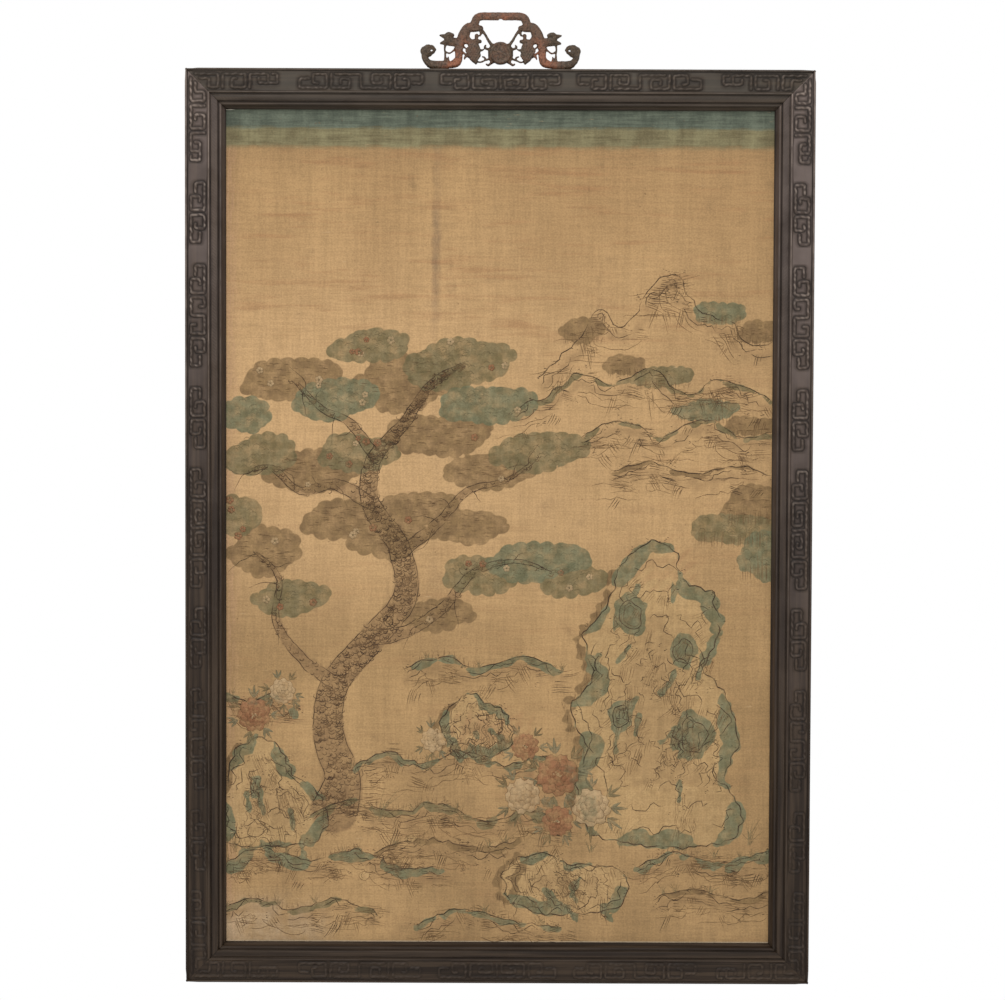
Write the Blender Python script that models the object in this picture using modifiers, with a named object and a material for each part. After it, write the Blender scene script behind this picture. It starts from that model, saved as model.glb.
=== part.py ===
"""Silk panel in a carved hardwood frame, with a pierced hanger on the top rail.

The panel faces -Y and hangs in the XZ plane.  The origin is the seat of the wall
hook: the top of the notch under the hanger's handle, in the middle of its thickness.
Tables are in millimetres and say so; everything else is in metres.
"""

import math

import bmesh
import bpy
from mathutils import Matrix, Vector

MM = 0.001
GAP = 0.3 * MM                      # clearance between two pieces that touch

# ---- driving dimensions -----------------------------------------------------------
FRAME_WIDTH = 1.000
FRAME_HEIGHT = 1.460
RAIL_FACE = 64.0 * MM               # rail width, outer edge to the sight edge
FRAME_BACK_Y = 12.0 * MM            # plane that lies against the wall

HOOK_SEAT_ABOVE_FRAME = 81.0 * MM   # notch above the top rail
FRAME_TOP_Z = -HOOK_SEAT_ABOVE_FRAME
FRAME_CENTRE_Z = FRAME_TOP_Z - FRAME_HEIGHT / 2

# ---- rail moulding, across the rail (u) and up from its back (v), in mm -------------
FIELD_LEVEL = 27.6                  # flat of the carved field
FIELD_EDGES = (5.2, 35.4)           # where that flat starts and ends
SLOT_FRONT, SLOT_BACK = 14.2, 12.0  # groove that holds the silk's edges
SLOT_FLOOR = 57.0

RAIL_SECTION = (
    # u, v
    (0.0, 0.0),
    (0.0, 27.6), (0.9, 28.6), (2.7, 28.6),                       # outer rim
    (3.5, 26.6), (4.6, 26.6),                                    # quirk
    (FIELD_EDGES[0], FIELD_LEVEL), (FIELD_EDGES[1], FIELD_LEVEL),
    (36.6, 29.0), (38.4, 29.0),                                  # ridge
    (39.8, 26.0), (41.2, 26.0),                                  # quirk
    (42.2, 27.4), (46.6, 27.9), (51.0, 27.4),                    # inner band
    (52.2, 25.2), (53.6, 25.2),                                  # quirk
    (54.6, 26.8), (56.4, 27.5), (58.2, 26.8),                    # bead
    (59.6, 23.4), (61.6, 19.6), (64.0, 17.2),                    # cove down to the silk
    (64.0, SLOT_FRONT), (SLOT_FLOOR, SLOT_FRONT),
    (SLOT_FLOOR, SLOT_BACK), (64.0, SLOT_BACK),
    (64.0, 0.0),
)

# ---- low relief of the field --------------------------------------------------------
CELL = 3.6                          # mm, width of a fret band and of the gap beside it
FRET_ROWS = 7                       # cells across the field: bands on the even ones
FRET_HEIGHT = 1.3                   # mm above the field
FRET_ROOT = 0.8                     # mm sunk into it
FRET_MARGIN = (sum(FIELD_EDGES) - FRET_ROWS * CELL) / 2

# Each stroke is a row of (across, along) cells; bands run between them squarely.
CORNER_FRET = (
    ((0, 2), (0, 12), (6, 12), (6, 8), (2, 8), (2, 4)),
    ((6, 14), (0, 14), (0, 24), (6, 24), (6, 18), (2, 18), (2, 20)),
    ((6, 26), (0, 26), (0, 34), (4, 34), (4, 30), (2, 30)),
    ((4, 34), (4, 38), (0, 38), (0, 36)),
)
END_HOOK = ((2, 4), (2, 0), (6, 0), (6, 12), (0, 12), (0, 6), (4, 6), (4, 8))
SHORT_FRET_LENGTH = 26
LONG_FRET_LENGTH = 44
LONG_FRET_MIDDLE = ((4, 18), (6, 18), (6, 14), (0, 14), (0, 22), (6, 22), (6, 30),
                    (0, 30), (0, 26), (2, 26))
CENTRE_FRET_LENGTH = 52
CENTRE_FRET_ARM = ((6, 26), (0, 26), (0, 14), (6, 14), (6, 24), (2, 24), (2, 18),
                   (4, 18), (4, 20))
RAIL_FRET_LENGTH = 54
RAIL_FRET_HOOK = ((0, 14), (6, 14), (6, 22), (2, 22), (2, 18), (4, 18))
RAIL_FRET_MIDDLE = ((0, 16), (0, 27), (6, 27), (6, 38))

# Distance of each group from the frame's corner, in mm.
STILE_GROUPS = {"short": 180.0, "long": 311.0, "short_flipped": 506.0}
RAIL_GROUP_START = 180.0

# ---- silk ----------------------------------------------------------------------------
SILK_THICKNESS = 1.6 * MM
SILK_EDGE_IN_SLOT = 6.0 * MM        # how far each edge runs into the groove
SILK_UNEVEN = 1.1 * MM
SILK_CUTS = (10, 15)

# ---- hanger --------------------------------------------------------------------------
HANGER_THICKNESS = 12.0             # mm
DISC_RADIUS = 17.8 * MM
DISC_THICKNESS = 13.0 * MM
DISC_HEIGHT = 26.0 * MM             # centre above the frame
NOTCH_RADIUS = 4.4 * MM
EYE_RADIUS = 1.9 * MM
EYE_PLACE = (-109.6 * MM, 30.2 * MM)        # x, and z above the frame

# Limbs of the hanger's left half: control points (x, z above the frame, width), in mm,
# and the limb's thickness as a share of the hanger's.
HANGER_LIMBS = {
    "handle": (1.0, ((3, 84.8, 11.6), (-16, 84.8, 11.6), (-30, 84.6, 11.7),
                     (-37.5, 81.6, 12.2), (-40.4, 75, 12.6), (-43, 68, 14))),
    "arm": (1.0, ((-43, 68, 13), (-51.5, 66, 15.5), (-58.5, 57, 15.5), (-62, 48, 15.5),
                  (-65.5, 38, 14.5), (-66.4, 29, 12.4), (-66.4, 19, 12.2),
                  (-68.5, 10.5, 11), (-76, 6.6, 8.6), (-90, 6.2, 8.4))),
    "foot": (1.0, ((-86, 7, 14), (-104, 7, 14), (-112, 8.6, 13))),
    "scroll": (0.9, ((-106, 7.4, 12), (-115, 11, 11), (-120.4, 19, 10), (-120.6, 27, 10))),
    "scroll_head": (1.0, ((-118.6, 29, 18), (-115, 29.8, 20.8), (-111.6, 31, 17))),
    "scroll_beak": (0.7, ((-110, 31, 13), (-106.6, 31, 8), (-104.4, 31.4, 5))),
    "wing": (0.75, ((-66, 43, 14), (-76, 44, 12), (-84, 48, 10))),
    "wing_curl": (0.9, ((-83, 46, 8), (-86.6, 51.6, 6), (-82.4, 57.2, 5.4), (-76.4, 54.6, 5))),
    "wing_tip": (0.6, ((-80, 50, 8), (-88, 52.6, 6), (-96.8, 53, 1.4))),
    "wing_barb": (0.6, ((-76, 43, 9), (-86, 43.4, 8), (-95, 42.4, 2))),
    "wing_strut": (0.4, ((-87, 43, 5), (-88.8, 33, 3), (-88, 24, 3), (-88, 12, 5))),
    "wing_loop": (0.4, ((-88.6, 29, 3), (-82, 25.8, 2.8), (-75.6, 29.4, 2.8),
                        (-70, 36, 3.4))),
    "claw": (0.6, ((-84, 10, 7), (-83.4, 15, 4.6), (-83, 19.8, 1.8))),
    "heel": (0.7, ((-68, 18, 8), (-73, 13.6, 7), (-80, 10.4, 5))),
    "snout": (1.0, ((-47, 66, 14), (-38, 65.6, 12), (-31.8, 65.4, 8.6))),
    "jaw": (0.6, ((-31.5, 64, 6.6), (-31, 58.6, 5), (-32.6, 53.6, 2.4))),
    "whisker": (0.4, ((-30, 62.6, 5), (-24.6, 55.4, 4.2), (-19.4, 46.4, 4.4),
                      (-12.6, 37, 6))),
    "shoulder": (0.75, ((-60, 46, 9), (-49, 43.4, 9), (-40, 44.2, 9), (-32.8, 44.6, 6))),
    "crest": (0.5, ((-41, 46, 6), (-41, 49.6, 4.6), (-39.6, 52.8, 3))),
    "tail": (0.8, ((-48, 42, 9), (-43.6, 36, 18), (-43, 26, 20), (-42, 17.6, 12.6),
                   (-39.4, 10.6, 4))),
    "upper_fin": (0.4, ((-60.4, 38, 3.4), (-55.2, 33.2, 2.8), (-49, 29, 3.4))),
    "lower_fin": (0.4, ((-62, 29, 4), (-56.4, 24.6, 3.4), (-50, 20, 4.4))),
    "disc_side": (0.7, ((-12.6, 38.6, 6), (-17, 31, 5.4), (-17, 20.6, 5.4),
                        (-13.4, 12.6, 6))),
    "disc_curl": (0.4, ((-16.4, 32.6, 4), (-22.6, 33, 3.8), (-25.4, 35.6, 3.6),
                        (-23.6, 38.4, 2.8))),
    "tail_loop": (0.4, ((-40, 13.6, 3), (-32, 11.8, 2.8), (-25.4, 14.4, 2.8),
                        (-15, 18, 4))),
    "tail_curl": (0.4, ((-25, 14.6, 3), (-24.8, 18.8, 3), (-28.6, 20.4, 2.4))),
    "disc_foot": (0.5, ((-9.6, 13.6, 6), (-15.8, 9.8, 4), (-19.4, 7, 3.6),
                        (-22.4, 8.8, 2.6))),
}
PLATE_STEP = 0.02                   # mm; keeps any two limbs' faces out of one plane
SMOOTH_SPACING = 4.5                # mm between the points of a limb's smooth path
CAP_SPACING = 4.5                   # mm of width for each point that rounds off an end

WOOD_DARK = (0.040, 0.030, 0.024)
WOOD_RED = (0.165, 0.088, 0.055)
SILK_TAN = (0.46, 0.28, 0.125)


def clear_scene():
    """Remove the objects that the startup file brings."""
    for obj in list(bpy.data.objects):
        bpy.data.objects.remove(obj, do_unlink=True)


def make_collection(name):
    """Add a collection to the scene."""
    collection = bpy.data.collections.new(name)
    bpy.context.scene.collection.children.link(collection)
    return collection


def make_material(name, colour, roughness):
    """Give one Principled material with a plain colour."""
    material = bpy.data.materials.new(name)
    material.use_nodes = True
    shader = material.node_tree.nodes["Principled BSDF"]
    shader.inputs["Base Color"].default_value = (*colour, 1.0)
    shader.inputs["Roughness"].default_value = roughness
    shader.inputs["Metallic"].default_value = 0.0
    return material


def object_from_bmesh(mesh_data, name, collection):
    """Turn a bmesh into a named object in a collection."""
    bmesh.ops.recalc_face_normals(mesh_data, faces=mesh_data.faces)
    mesh = bpy.data.meshes.new(name)
    mesh_data.to_mesh(mesh)
    mesh_data.free()
    obj = bpy.data.objects.new(name, mesh)
    collection.objects.link(obj)
    return obj


def hide_as_tool(obj):
    """Mark an object as a modelling tool that is no piece of the part."""
    obj.hide_render = True
    obj.display_type = "WIRE"


# ---- frame -------------------------------------------------------------------------
def rail_solid(name, length, collection):
    """Moulding section swept along a rail, its ends cut at 45 degrees.

    Locally X runs along the rail, Y from its outer edge inwards and Z to the front.
    """
    setback = GAP / math.sqrt(2)
    shape = bmesh.new()
    start = [shape.verts.new((0.0, u * MM, v * MM)) for u, v in RAIL_SECTION]
    face = shape.faces.new(start)
    swept = bmesh.ops.extrude_face_region(shape, geom=[face])
    far = {item for item in swept["geom"] if isinstance(item, bmesh.types.BMVert)}
    for vert in shape.verts:
        reach = length / 2 - vert.co.y - setback
        vert.co.x = reach if vert in far else -reach
    return object_from_bmesh(shape, name, collection)


def stroke_cells(stroke):
    """Cells that a fret stroke covers, walking squarely from corner to corner."""
    cells = {stroke[0]}
    for (across, along), (next_across, next_along) in zip(stroke, stroke[1:]):
        steps = max(abs(next_across - across), abs(next_along - along))
        for step in range(1, steps + 1):
            share = step / steps
            cells.add((round(across + (next_across - across) * share),
                       round(along + (next_along - along) * share)))
    return cells


def half_turned(stroke, length):
    """The stroke turned half round about the middle of its group."""
    return tuple((FRET_ROWS - 1 - across, length - along) for across, along in stroke)


def mirrored(stroke, length):
    """The stroke seen from the other end of its group."""
    return tuple((across, length - along) for across, along in stroke)


def flipped(stroke):
    """The stroke with its outer and inner sides changed over."""
    return tuple((FRET_ROWS - 1 - across, along) for across, along in stroke)


def group_strokes(kind):
    """Strokes of one fret group."""
    if kind == "corner":
        return CORNER_FRET
    if kind == "short":
        return END_HOOK, half_turned(END_HOOK, SHORT_FRET_LENGTH)
    if kind == "short_flipped":
        return tuple(flipped(stroke) for stroke in group_strokes("short"))
    if kind == "long":
        return END_HOOK, LONG_FRET_MIDDLE, half_turned(END_HOOK, LONG_FRET_LENGTH)
    if kind == "centre":
        half = (flipped(END_HOOK), CENTRE_FRET_ARM)
        return half + tuple(mirrored(stroke, CENTRE_FRET_LENGTH) for stroke in half)
    half = (END_HOOK, RAIL_FRET_HOOK)
    other = tuple(half_turned(stroke, RAIL_FRET_LENGTH) for stroke in half)
    return half + (RAIL_FRET_MIDDLE,) + other


def fret_cells(kind):
    """All the cells of one group."""
    cells = set()
    for stroke in group_strokes(kind):
        cells |= stroke_cells(stroke)
    return cells


def fret_layout(length, half_groups):
    """Groups along a rail: (kind, start in mm, mirrored end for end)."""
    half_mm = length / MM / 2
    layout = []
    for kind, start in half_groups.items():
        layout.append((kind, start, False))
        layout.append((kind, 2 * half_mm - start, True))
    centre_span = (CENTRE_FRET_LENGTH + 1) * CELL
    layout.append(("centre", half_mm - centre_span / 2, False))
    return layout


def relief_solid(name, length, layout, collection):
    """The raised bands of a rail as flat-topped solids sunk a little into the field."""
    shape = bmesh.new()
    corners = {}

    def corner(across, place):
        """Vertex at a cell corner, shared by the cells round it."""
        key = (across, round(place, 3))
        if key not in corners:
            inward = (FRET_MARGIN + across * CELL) * MM
            corners[key] = shape.verts.new((place * MM - length / 2, inward, 0.0))
        return corners[key]

    for kind, start, backwards in layout:
        sign = -1 if backwards else 1
        for across, along in sorted(fret_cells(kind)):
            near, far = start + sign * along * CELL, start + sign * (along + 1) * CELL
            shape.faces.new((corner(across, near), corner(across, far),
                             corner(across + 1, far), corner(across + 1, near)))
    bmesh.ops.recalc_face_normals(shape, faces=shape.faces)
    bmesh.ops.dissolve_limit(shape, angle_limit=math.radians(1.0), verts=shape.verts,
                             edges=shape.edges)
    raised = bmesh.ops.extrude_face_region(shape, geom=list(shape.faces))
    top = [item for item in raised["geom"] if isinstance(item, bmesh.types.BMVert)]
    for vert in shape.verts:
        vert.co.z = (FIELD_LEVEL - FRET_ROOT) * MM
    for vert in top:
        vert.co.z = (FIELD_LEVEL + FRET_HEIGHT) * MM
    relief = object_from_bmesh(shape, name, collection)
    hide_as_tool(relief)
    return relief


def build_rail(name, length, turn, half_groups, collections, material):
    """One carved rail, turned about the frame's centre to its side."""
    pieces, tools = collections
    rail = rail_solid(name, length, pieces)
    relief = relief_solid(name + "_relief", length, fret_layout(length, half_groups),
                          tools)
    rail.data.materials.append(material)
    union = rail.modifiers.new("carving", "BOOLEAN")
    union.operation = "UNION"
    union.object = relief
    across = FRAME_HEIGHT if length == FRAME_WIDTH else FRAME_WIDTH
    rotation = Matrix.Rotation(turn, 4, "Y") @ Matrix.Rotation(math.pi / 2, 4, "X")
    outward = Matrix.Rotation(turn, 4, "Y") @ Vector((0.0, 0.0, -across / 2))
    centre = Vector((0.0, FRAME_BACK_Y, FRAME_CENTRE_Z))
    for obj in (rail, relief):
        obj.rotation_euler = rotation.to_euler()
        obj.location = centre + outward


def build_frame(collections, material):
    """Two rails and two stiles, mitred together."""
    rail_groups = {"corner": FRET_MARGIN, "rail": RAIL_GROUP_START}
    stile_groups = {"corner": FRET_MARGIN, **STILE_GROUPS}
    for name, length, turn, groups in (
            ("rail_bottom", FRAME_WIDTH, 0.0, rail_groups),
            ("stile_right", FRAME_HEIGHT, -math.pi / 2, stile_groups),
            ("rail_top", FRAME_WIDTH, math.pi, rail_groups),
            ("stile_left", FRAME_HEIGHT, math.pi / 2, stile_groups)):
        build_rail(name, length, turn, groups, collections, material)


# ---- silk --------------------------------------------------------------------------
def silk_unevenness(across, up):
    """Shallow ripples of stretched silk; none at the edges, which the groove holds.

    across and up run from -1 to 1 over the panel.
    """
    hold = (1 - across ** 6) * (1 - up ** 6)
    ripple = 0.55 * math.sin(7.3 * across + 0.9 * up) * math.cos(1.7 * up - 0.4)
    sag = 0.45 * math.sin(3.1 * up + 1.2) * math.cos(2.2 * across)
    return SILK_UNEVEN * hold * (ripple + sag)


def build_silk(collection, material):
    """The painted silk, one thin sheet whose edges run into the rails' groove."""
    inset = RAIL_FACE - SILK_EDGE_IN_SLOT
    width = FRAME_WIDTH - 2 * inset
    height = FRAME_HEIGHT - 2 * inset
    middle_y = FRAME_BACK_Y - (SLOT_FRONT + SLOT_BACK) / 2 * MM
    bpy.ops.mesh.primitive_grid_add(
        x_subdivisions=SILK_CUTS[0], y_subdivisions=SILK_CUTS[1], size=1.0,
        rotation=(math.pi / 2, 0.0, 0.0), location=(0.0, middle_y, FRAME_CENTRE_Z))
    silk = bpy.context.active_object
    silk.name = "silk_panel"
    for vert in silk.data.vertices:
        across, up = 2 * vert.co.x, 2 * vert.co.y
        vert.co = (vert.co.x * width, vert.co.y * height, silk_unevenness(across, up))
    silk.data.shade_smooth()
    silk.data.materials.append(material)
    cloth = silk.modifiers.new("cloth", "SOLIDIFY")
    cloth.thickness = SILK_THICKNESS
    cloth.offset = 0.0
    move_to(silk, collection)


def move_to(obj, collection):
    """Take an object out of its collections and put it into one."""
    for owner in list(obj.users_collection):
        owner.objects.unlink(obj)
    collection.objects.link(obj)


# ---- hanger ------------------------------------------------------------------------
def smooth_path(points):
    """Points along a smooth curve through (x, z, width) control points."""
    path = []
    last = len(points) - 1
    for index in range(last):
        before = Vector(points[max(index - 1, 0)])
        here, there = Vector(points[index]), Vector(points[index + 1])
        after = Vector(points[min(index + 2, last)])
        steps = max(1, round((there - here).xy.length / SMOOTH_SPACING))
        for step in range(steps):
            t = step / steps
            path.append(0.5 * (2 * here + (there - before) * t
                               + (2 * before - 5 * here + 4 * there - after) * t ** 2
                               + (3 * here - before - 3 * there + after) * t ** 3))
    path.append(Vector(points[last]))
    return path


def limb_outline(points):
    """Outline of a limb: both sides of its path, with rounded ends."""
    path = smooth_path(points)
    left, right = [], []
    for index, point in enumerate(path):
        ahead = path[min(index + 1, len(path) - 1)] - path[max(index - 1, 0)]
        along = Vector((ahead.x, ahead.y)).normalized()
        side = Vector((-along.y, along.x)) * point.z / 2
        spot = Vector((point.x, point.y))
        left.append(spot + side)
        right.append(spot - side)
    far_cap = end_cap(left[-1], right[-1])
    near_cap = end_cap(right[0], left[0])
    return left + far_cap + right[::-1] + near_cap


def end_cap(start, stop):
    """Points of the half circle that runs clockwise from start to stop."""
    centre = (start + stop) / 2
    arm = start - centre
    count = max(2, round(2 * arm.length / CAP_SPACING))
    turns = [-math.pi * step / (count + 1) for step in range(1, count + 1)]
    return [centre + Matrix.Rotation(turn, 2) @ arm for turn in turns]


def limb_plate(name, share, points, tools):
    """A limb of the hanger as a flat plate cut to its outline."""
    curve = bpy.data.curves.new(name, "CURVE")
    curve.dimensions = "2D"
    curve.fill_mode = "BOTH"
    curve.extrude = (share * HANGER_THICKNESS + len(tools.objects) * PLATE_STEP) * MM / 2
    outline = limb_outline(points)
    spline = curve.splines.new("POLY")
    spline.points.add(len(outline) - 1)
    for spot, point in zip(outline, spline.points):
        point.co = (spot.x * MM, spot.y * MM, 0.0, 1.0)
    spline.use_cyclic_u = True
    drawn = bpy.data.objects.new(name, curve)
    drawn.rotation_euler = (math.pi / 2, 0.0, 0.0)
    drawn.location = (0.0, 0.0, FRAME_TOP_Z + GAP)
    tools.objects.link(drawn)
    bpy.context.view_layer.update()

    evaluated = drawn.evaluated_get(bpy.context.evaluated_depsgraph_get())
    mesh = bpy.data.meshes.new_from_object(evaluated)
    shape = bmesh.new()
    shape.from_mesh(mesh)
    bmesh.ops.remove_doubles(shape, verts=shape.verts, dist=0.01 * MM)
    bpy.data.meshes.remove(mesh)
    plate = object_from_bmesh(shape, name + "_plate", tools)
    plate.matrix_world = drawn.matrix_world
    bpy.data.objects.remove(drawn, do_unlink=True)
    hide_as_tool(plate)
    return plate


def round_cutter(name, radius, x, z, cutters):
    """A round bar along Y that cuts through the hanger at x, z."""
    bpy.ops.mesh.primitive_cylinder_add(
        vertices=16, radius=radius, depth=2 * HANGER_THICKNESS * MM,
        rotation=(math.pi / 2, 0.0, 0.0), location=(x, 0.0, z))
    cutter = bpy.context.active_object
    cutter.name = name
    hide_as_tool(cutter)
    move_to(cutter, cutters)


def build_hanger(pieces, material):
    """Pierced hanger: disc and limbs of the left half, joined and mirrored."""
    limbs = make_collection("hanger_limbs")
    for name, (share, points) in HANGER_LIMBS.items():
        limb_plate(name, share, points, limbs)

    bpy.ops.mesh.primitive_cylinder_add(
        vertices=40, radius=DISC_RADIUS, depth=DISC_THICKNESS,
        rotation=(math.pi / 2, 0.0, 0.0),
        location=(0.0, 0.0, FRAME_TOP_Z + DISC_HEIGHT))
    hanger = bpy.context.active_object
    hanger.name = "hanger"
    hanger.data.materials.append(material)
    move_to(hanger, pieces)

    cutters = make_collection("hanger_cutters")
    eye_x, eye_z = EYE_PLACE
    round_cutter("notch_cutter", NOTCH_RADIUS, 0.0, -NOTCH_RADIUS, cutters)
    round_cutter("eye_cutter", EYE_RADIUS, eye_x, FRAME_TOP_Z + eye_z, cutters)

    union = hanger.modifiers.new("limbs", "BOOLEAN")
    union.operation = "UNION"
    union.operand_type = "COLLECTION"
    union.collection = limbs
    cut = hanger.modifiers.new("holes", "BOOLEAN")
    cut.operation = "DIFFERENCE"
    cut.operand_type = "COLLECTION"
    cut.collection = cutters
    mirror = hanger.modifiers.new("halves", "MIRROR")
    mirror.use_bisect_axis[0] = True
    mirror.use_bisect_flip_axis[0] = True
    mirror.merge_threshold = 0.00001


def main():
    """Build the frame, the silk and the hanger."""
    clear_scene()
    pieces = make_collection("silk_painting")
    tools = make_collection("carving_tools")
    dark_wood = make_material("dark hardwood", WOOD_DARK, 0.45)
    red_wood = make_material("reddish hardwood", WOOD_RED, 0.5)
    silk = make_material("painted silk", SILK_TAN, 0.8)
    build_frame((pieces, tools), dark_wood)
    build_silk(pieces, silk)
    build_hanger(pieces, red_wood)


main()
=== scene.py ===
"""Looks of a painted silk panel in a carved hardwood frame with a pierced hanger.

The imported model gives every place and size.  Tables are in millimetres, as the
maker's drawings are, and meshes are in metres.  The panel faces -Y; X runs to the
right and Z up.  A place in the frame's plane is a complex number x + iz, in mm from
its middle: turning and measuring are then one product or one abs().
"""

import logging
import math
from cmath import rect
from collections.abc import Sequence
from dataclasses import dataclass, field
from enum import Enum

import bpy
import numpy as np
from mathutils import Matrix, Vector
from mathutils.geometry import tessellate_polygon


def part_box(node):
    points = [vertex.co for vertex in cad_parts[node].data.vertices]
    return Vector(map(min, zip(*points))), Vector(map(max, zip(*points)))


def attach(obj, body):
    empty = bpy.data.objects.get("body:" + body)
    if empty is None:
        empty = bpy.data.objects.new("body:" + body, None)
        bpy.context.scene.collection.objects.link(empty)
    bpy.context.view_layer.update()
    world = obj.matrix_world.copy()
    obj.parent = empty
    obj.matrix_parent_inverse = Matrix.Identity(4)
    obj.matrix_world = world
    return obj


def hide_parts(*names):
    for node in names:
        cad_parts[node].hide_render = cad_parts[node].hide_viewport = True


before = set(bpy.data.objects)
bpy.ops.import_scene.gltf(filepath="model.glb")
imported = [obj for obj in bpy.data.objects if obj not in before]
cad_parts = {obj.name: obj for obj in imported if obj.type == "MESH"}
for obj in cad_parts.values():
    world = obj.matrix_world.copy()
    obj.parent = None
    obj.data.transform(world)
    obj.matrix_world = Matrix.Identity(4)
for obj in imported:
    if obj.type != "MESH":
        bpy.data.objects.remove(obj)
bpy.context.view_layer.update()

LOG = logging.getLogger("silk_painting")
MM = 0.001
BODY = "root"
BAKE_MAP = "OFBake"

FRAME_LOW = np.minimum.reduce([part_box(n)[0] for n in ("rail_bottom", "stile_left")])
FRAME_HIGH = np.maximum.reduce([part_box(n)[1] for n in ("rail_top", "stile_right")])
FRAME_SIZE = FRAME_HIGH - FRAME_LOW
CENTRE_Z = float(FRAME_LOW[2] + FRAME_HIGH[2]) / 2
BACK_Y = float(FRAME_HIGH[1])

Array = np.ndarray
Pair = tuple[float, float]
Triple = tuple[float, float, float]
Signs = tuple[int, ...]
Points = Sequence[Sequence[float]]
Piece = bpy.types.Object
Finish = bpy.types.Material
Socket = bpy.types.NodeSocket
Value = Socket | str | float | tuple | None

# kinds of node that are used often, each with its main setting
TIMES, PLUS, MINUS = "Math MULTIPLY", "Math ADD", "Math SUBTRACT"
TIMES_PLUS = "Math MULTIPLY_ADD"
STEP = "MapRange SMOOTHSTEP"
MIX = "MixRGB MIX"


class Axis(Enum):
    """Direction that a board's grain runs in."""

    ALONG_X = 0
    ALONG_Z = 2


# ---- colours and nodes
def linear(hex_colour: str, alpha: float = 1.0) -> tuple[float, float, float, float]:
    """Turn an sRGB hex colour into linear RGBA.

    Args:
        hex_colour: six hex digits, such as "b08d62".
        alpha: the fourth number.

    Returns:
        Red, green, blue and alpha, each from 0 to 1.
    """
    parts = [int(hex_colour[i:i + 2], 16) / 255 for i in (0, 2, 4)]
    bright = [c / 12.92 if c <= 0.04045 else ((c + 0.055) / 1.055) ** 2.4 for c in parts]
    return (*bright, alpha)


class Shade:
    """A material's node tree and its shader."""

    main_setting = {"Math": "operation", "MixRGB": "blend_type", "MapRange": "interpolation_type",
                    "Attribute": "attribute_name"}

    def __init__(self, name: str) -> None:
        """Start a material with only its shader.

        Args:
            name: its name.
        """
        self.material = bpy.data.materials.new(name)
        self.material.use_nodes = True
        self.tree = self.material.node_tree
        self.shader = self.tree.nodes["Principled BSDF"]
        self.place = self.add("TexCoord", out="Object")

    def put(self, socket: Socket, value: Value) -> None:
        """Link or set what goes into a socket.

        Args:
            socket: the socket.
            value: another socket, a number or a hex colour.
        """
        if isinstance(value, Socket):
            self.tree.links.new(value, socket)
        elif value is not None:
            socket.default_value = linear(value) if isinstance(value, str) else value

    def add(self, kind: str, *values: Value, out: int | str = 0, **named: Value) -> Socket:
        """Add one node with its main setting and what goes into it.

        Args:
            kind: the node's type, without the "ShaderNode" in front, and after a space
                the value of its main setting, where it has one.
            *values: what goes into its inputs, in order; None leaves one as it is.
            out: the output that is wanted.
            **named: the same, by the input's name.

        Returns:
            That output socket.
        """
        kind, _, setting = kind.partition(" ")
        node = self.tree.nodes.new("ShaderNode" + kind)
        if setting:
            setattr(node, self.main_setting[kind], setting)
        for key, value in [*enumerate(values), *named.items()]:
            self.put(node.inputs[key], value)
        return node.outputs[out]

    def over(self, colour: Value, tone: Value, *amounts: Value) -> Socket:
        """Lay a tone over a colour.

        Args:
            colour: what lies below.
            tone: what is laid over it.
            *amounts: numbers or sockets whose product says how much shows; a tuple is a
                pattern and what a smooth step makes of it: from, to, low and high.

        Returns:
            The colour with the tone on it.
        """
        total = None
        for amount in amounts:
            if isinstance(amount, tuple):
                amount = self.add(STEP, *amount)
            total = amount if total is None else self.add(TIMES, total, amount)
        return self.add(MIX, total, colour, tone)

    def grains(self, size_mm: float | Sequence[float], detail: float = 2.0, seed: float = 0.0) -> Socket:
        """Uneven pattern, about 0.5 on average.

        Args:
            size_mm: size of its grains, or their sizes along X, Y and Z.
            detail: how many finer layers it has.
            seed: moves the pattern, so that no two are alike.

        Returns:
            The pattern's value.
        """
        scale = tuple(np.broadcast_to(1 / (np.array(size_mm) * MM), 3).tolist())
        scaled = self.add("Mapping", self.place, (seed, seed * 0.7, seed * 1.3), None, scale)
        return self.add("TexNoise", scaled, Scale=1.0, Detail=detail, Roughness=0.55)

    def finish(self, relief: Socket, depth_mm: float, **values: Value) -> Finish:
        """Give the shader its relief and its other values.

        Args:
            relief: height pattern for the bump.
            depth_mm: how deep that pattern is.
            **values: what goes into other sockets, spaces written as underscores.

        Returns:
            The finished material.
        """
        bump = self.add("Bump", Strength=1.0, Distance=depth_mm * MM, Height=relief)
        for name, value in {**values, "Normal": bump}.items():
            self.put(self.shader.inputs[name.replace("_", " ")], value)
        return self.material


# ---- meshes
def mesh_object(name: str, points: Array, faces: list[Sequence[int]],
                attributes: dict[str, Array] | None = None, smooth: bool = True) -> Piece:
    """Make an object from points and faces.

    Args:
        name: the piece's name.
        points: (n, 3) places in metres.
        faces: point numbers of each face.
        attributes: a number for each point, by name.
        smooth: whether faces are shaded smooth.

    Returns:
        The new object, in the scene.
    """
    mesh = bpy.data.meshes.new(name)
    loops = np.fromiter((i for face in faces for i in face), np.int32)
    sizes = np.fromiter((len(face) for face in faces), np.int32)
    mesh.vertices.add(len(points))
    mesh.vertices.foreach_set("co", np.asarray(points, np.float32).ravel())
    mesh.loops.add(len(loops))
    mesh.loops.foreach_set("vertex_index", loops)
    mesh.polygons.add(len(sizes))
    mesh.polygons.foreach_set("loop_start", np.cumsum(sizes, dtype=np.int32) - sizes)
    mesh.update(calc_edges=True)
    mesh.validate()
    mesh.polygons.foreach_set("use_smooth", np.full(len(mesh.polygons), smooth))
    note(mesh, attributes or {})
    return show(name, mesh)


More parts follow.
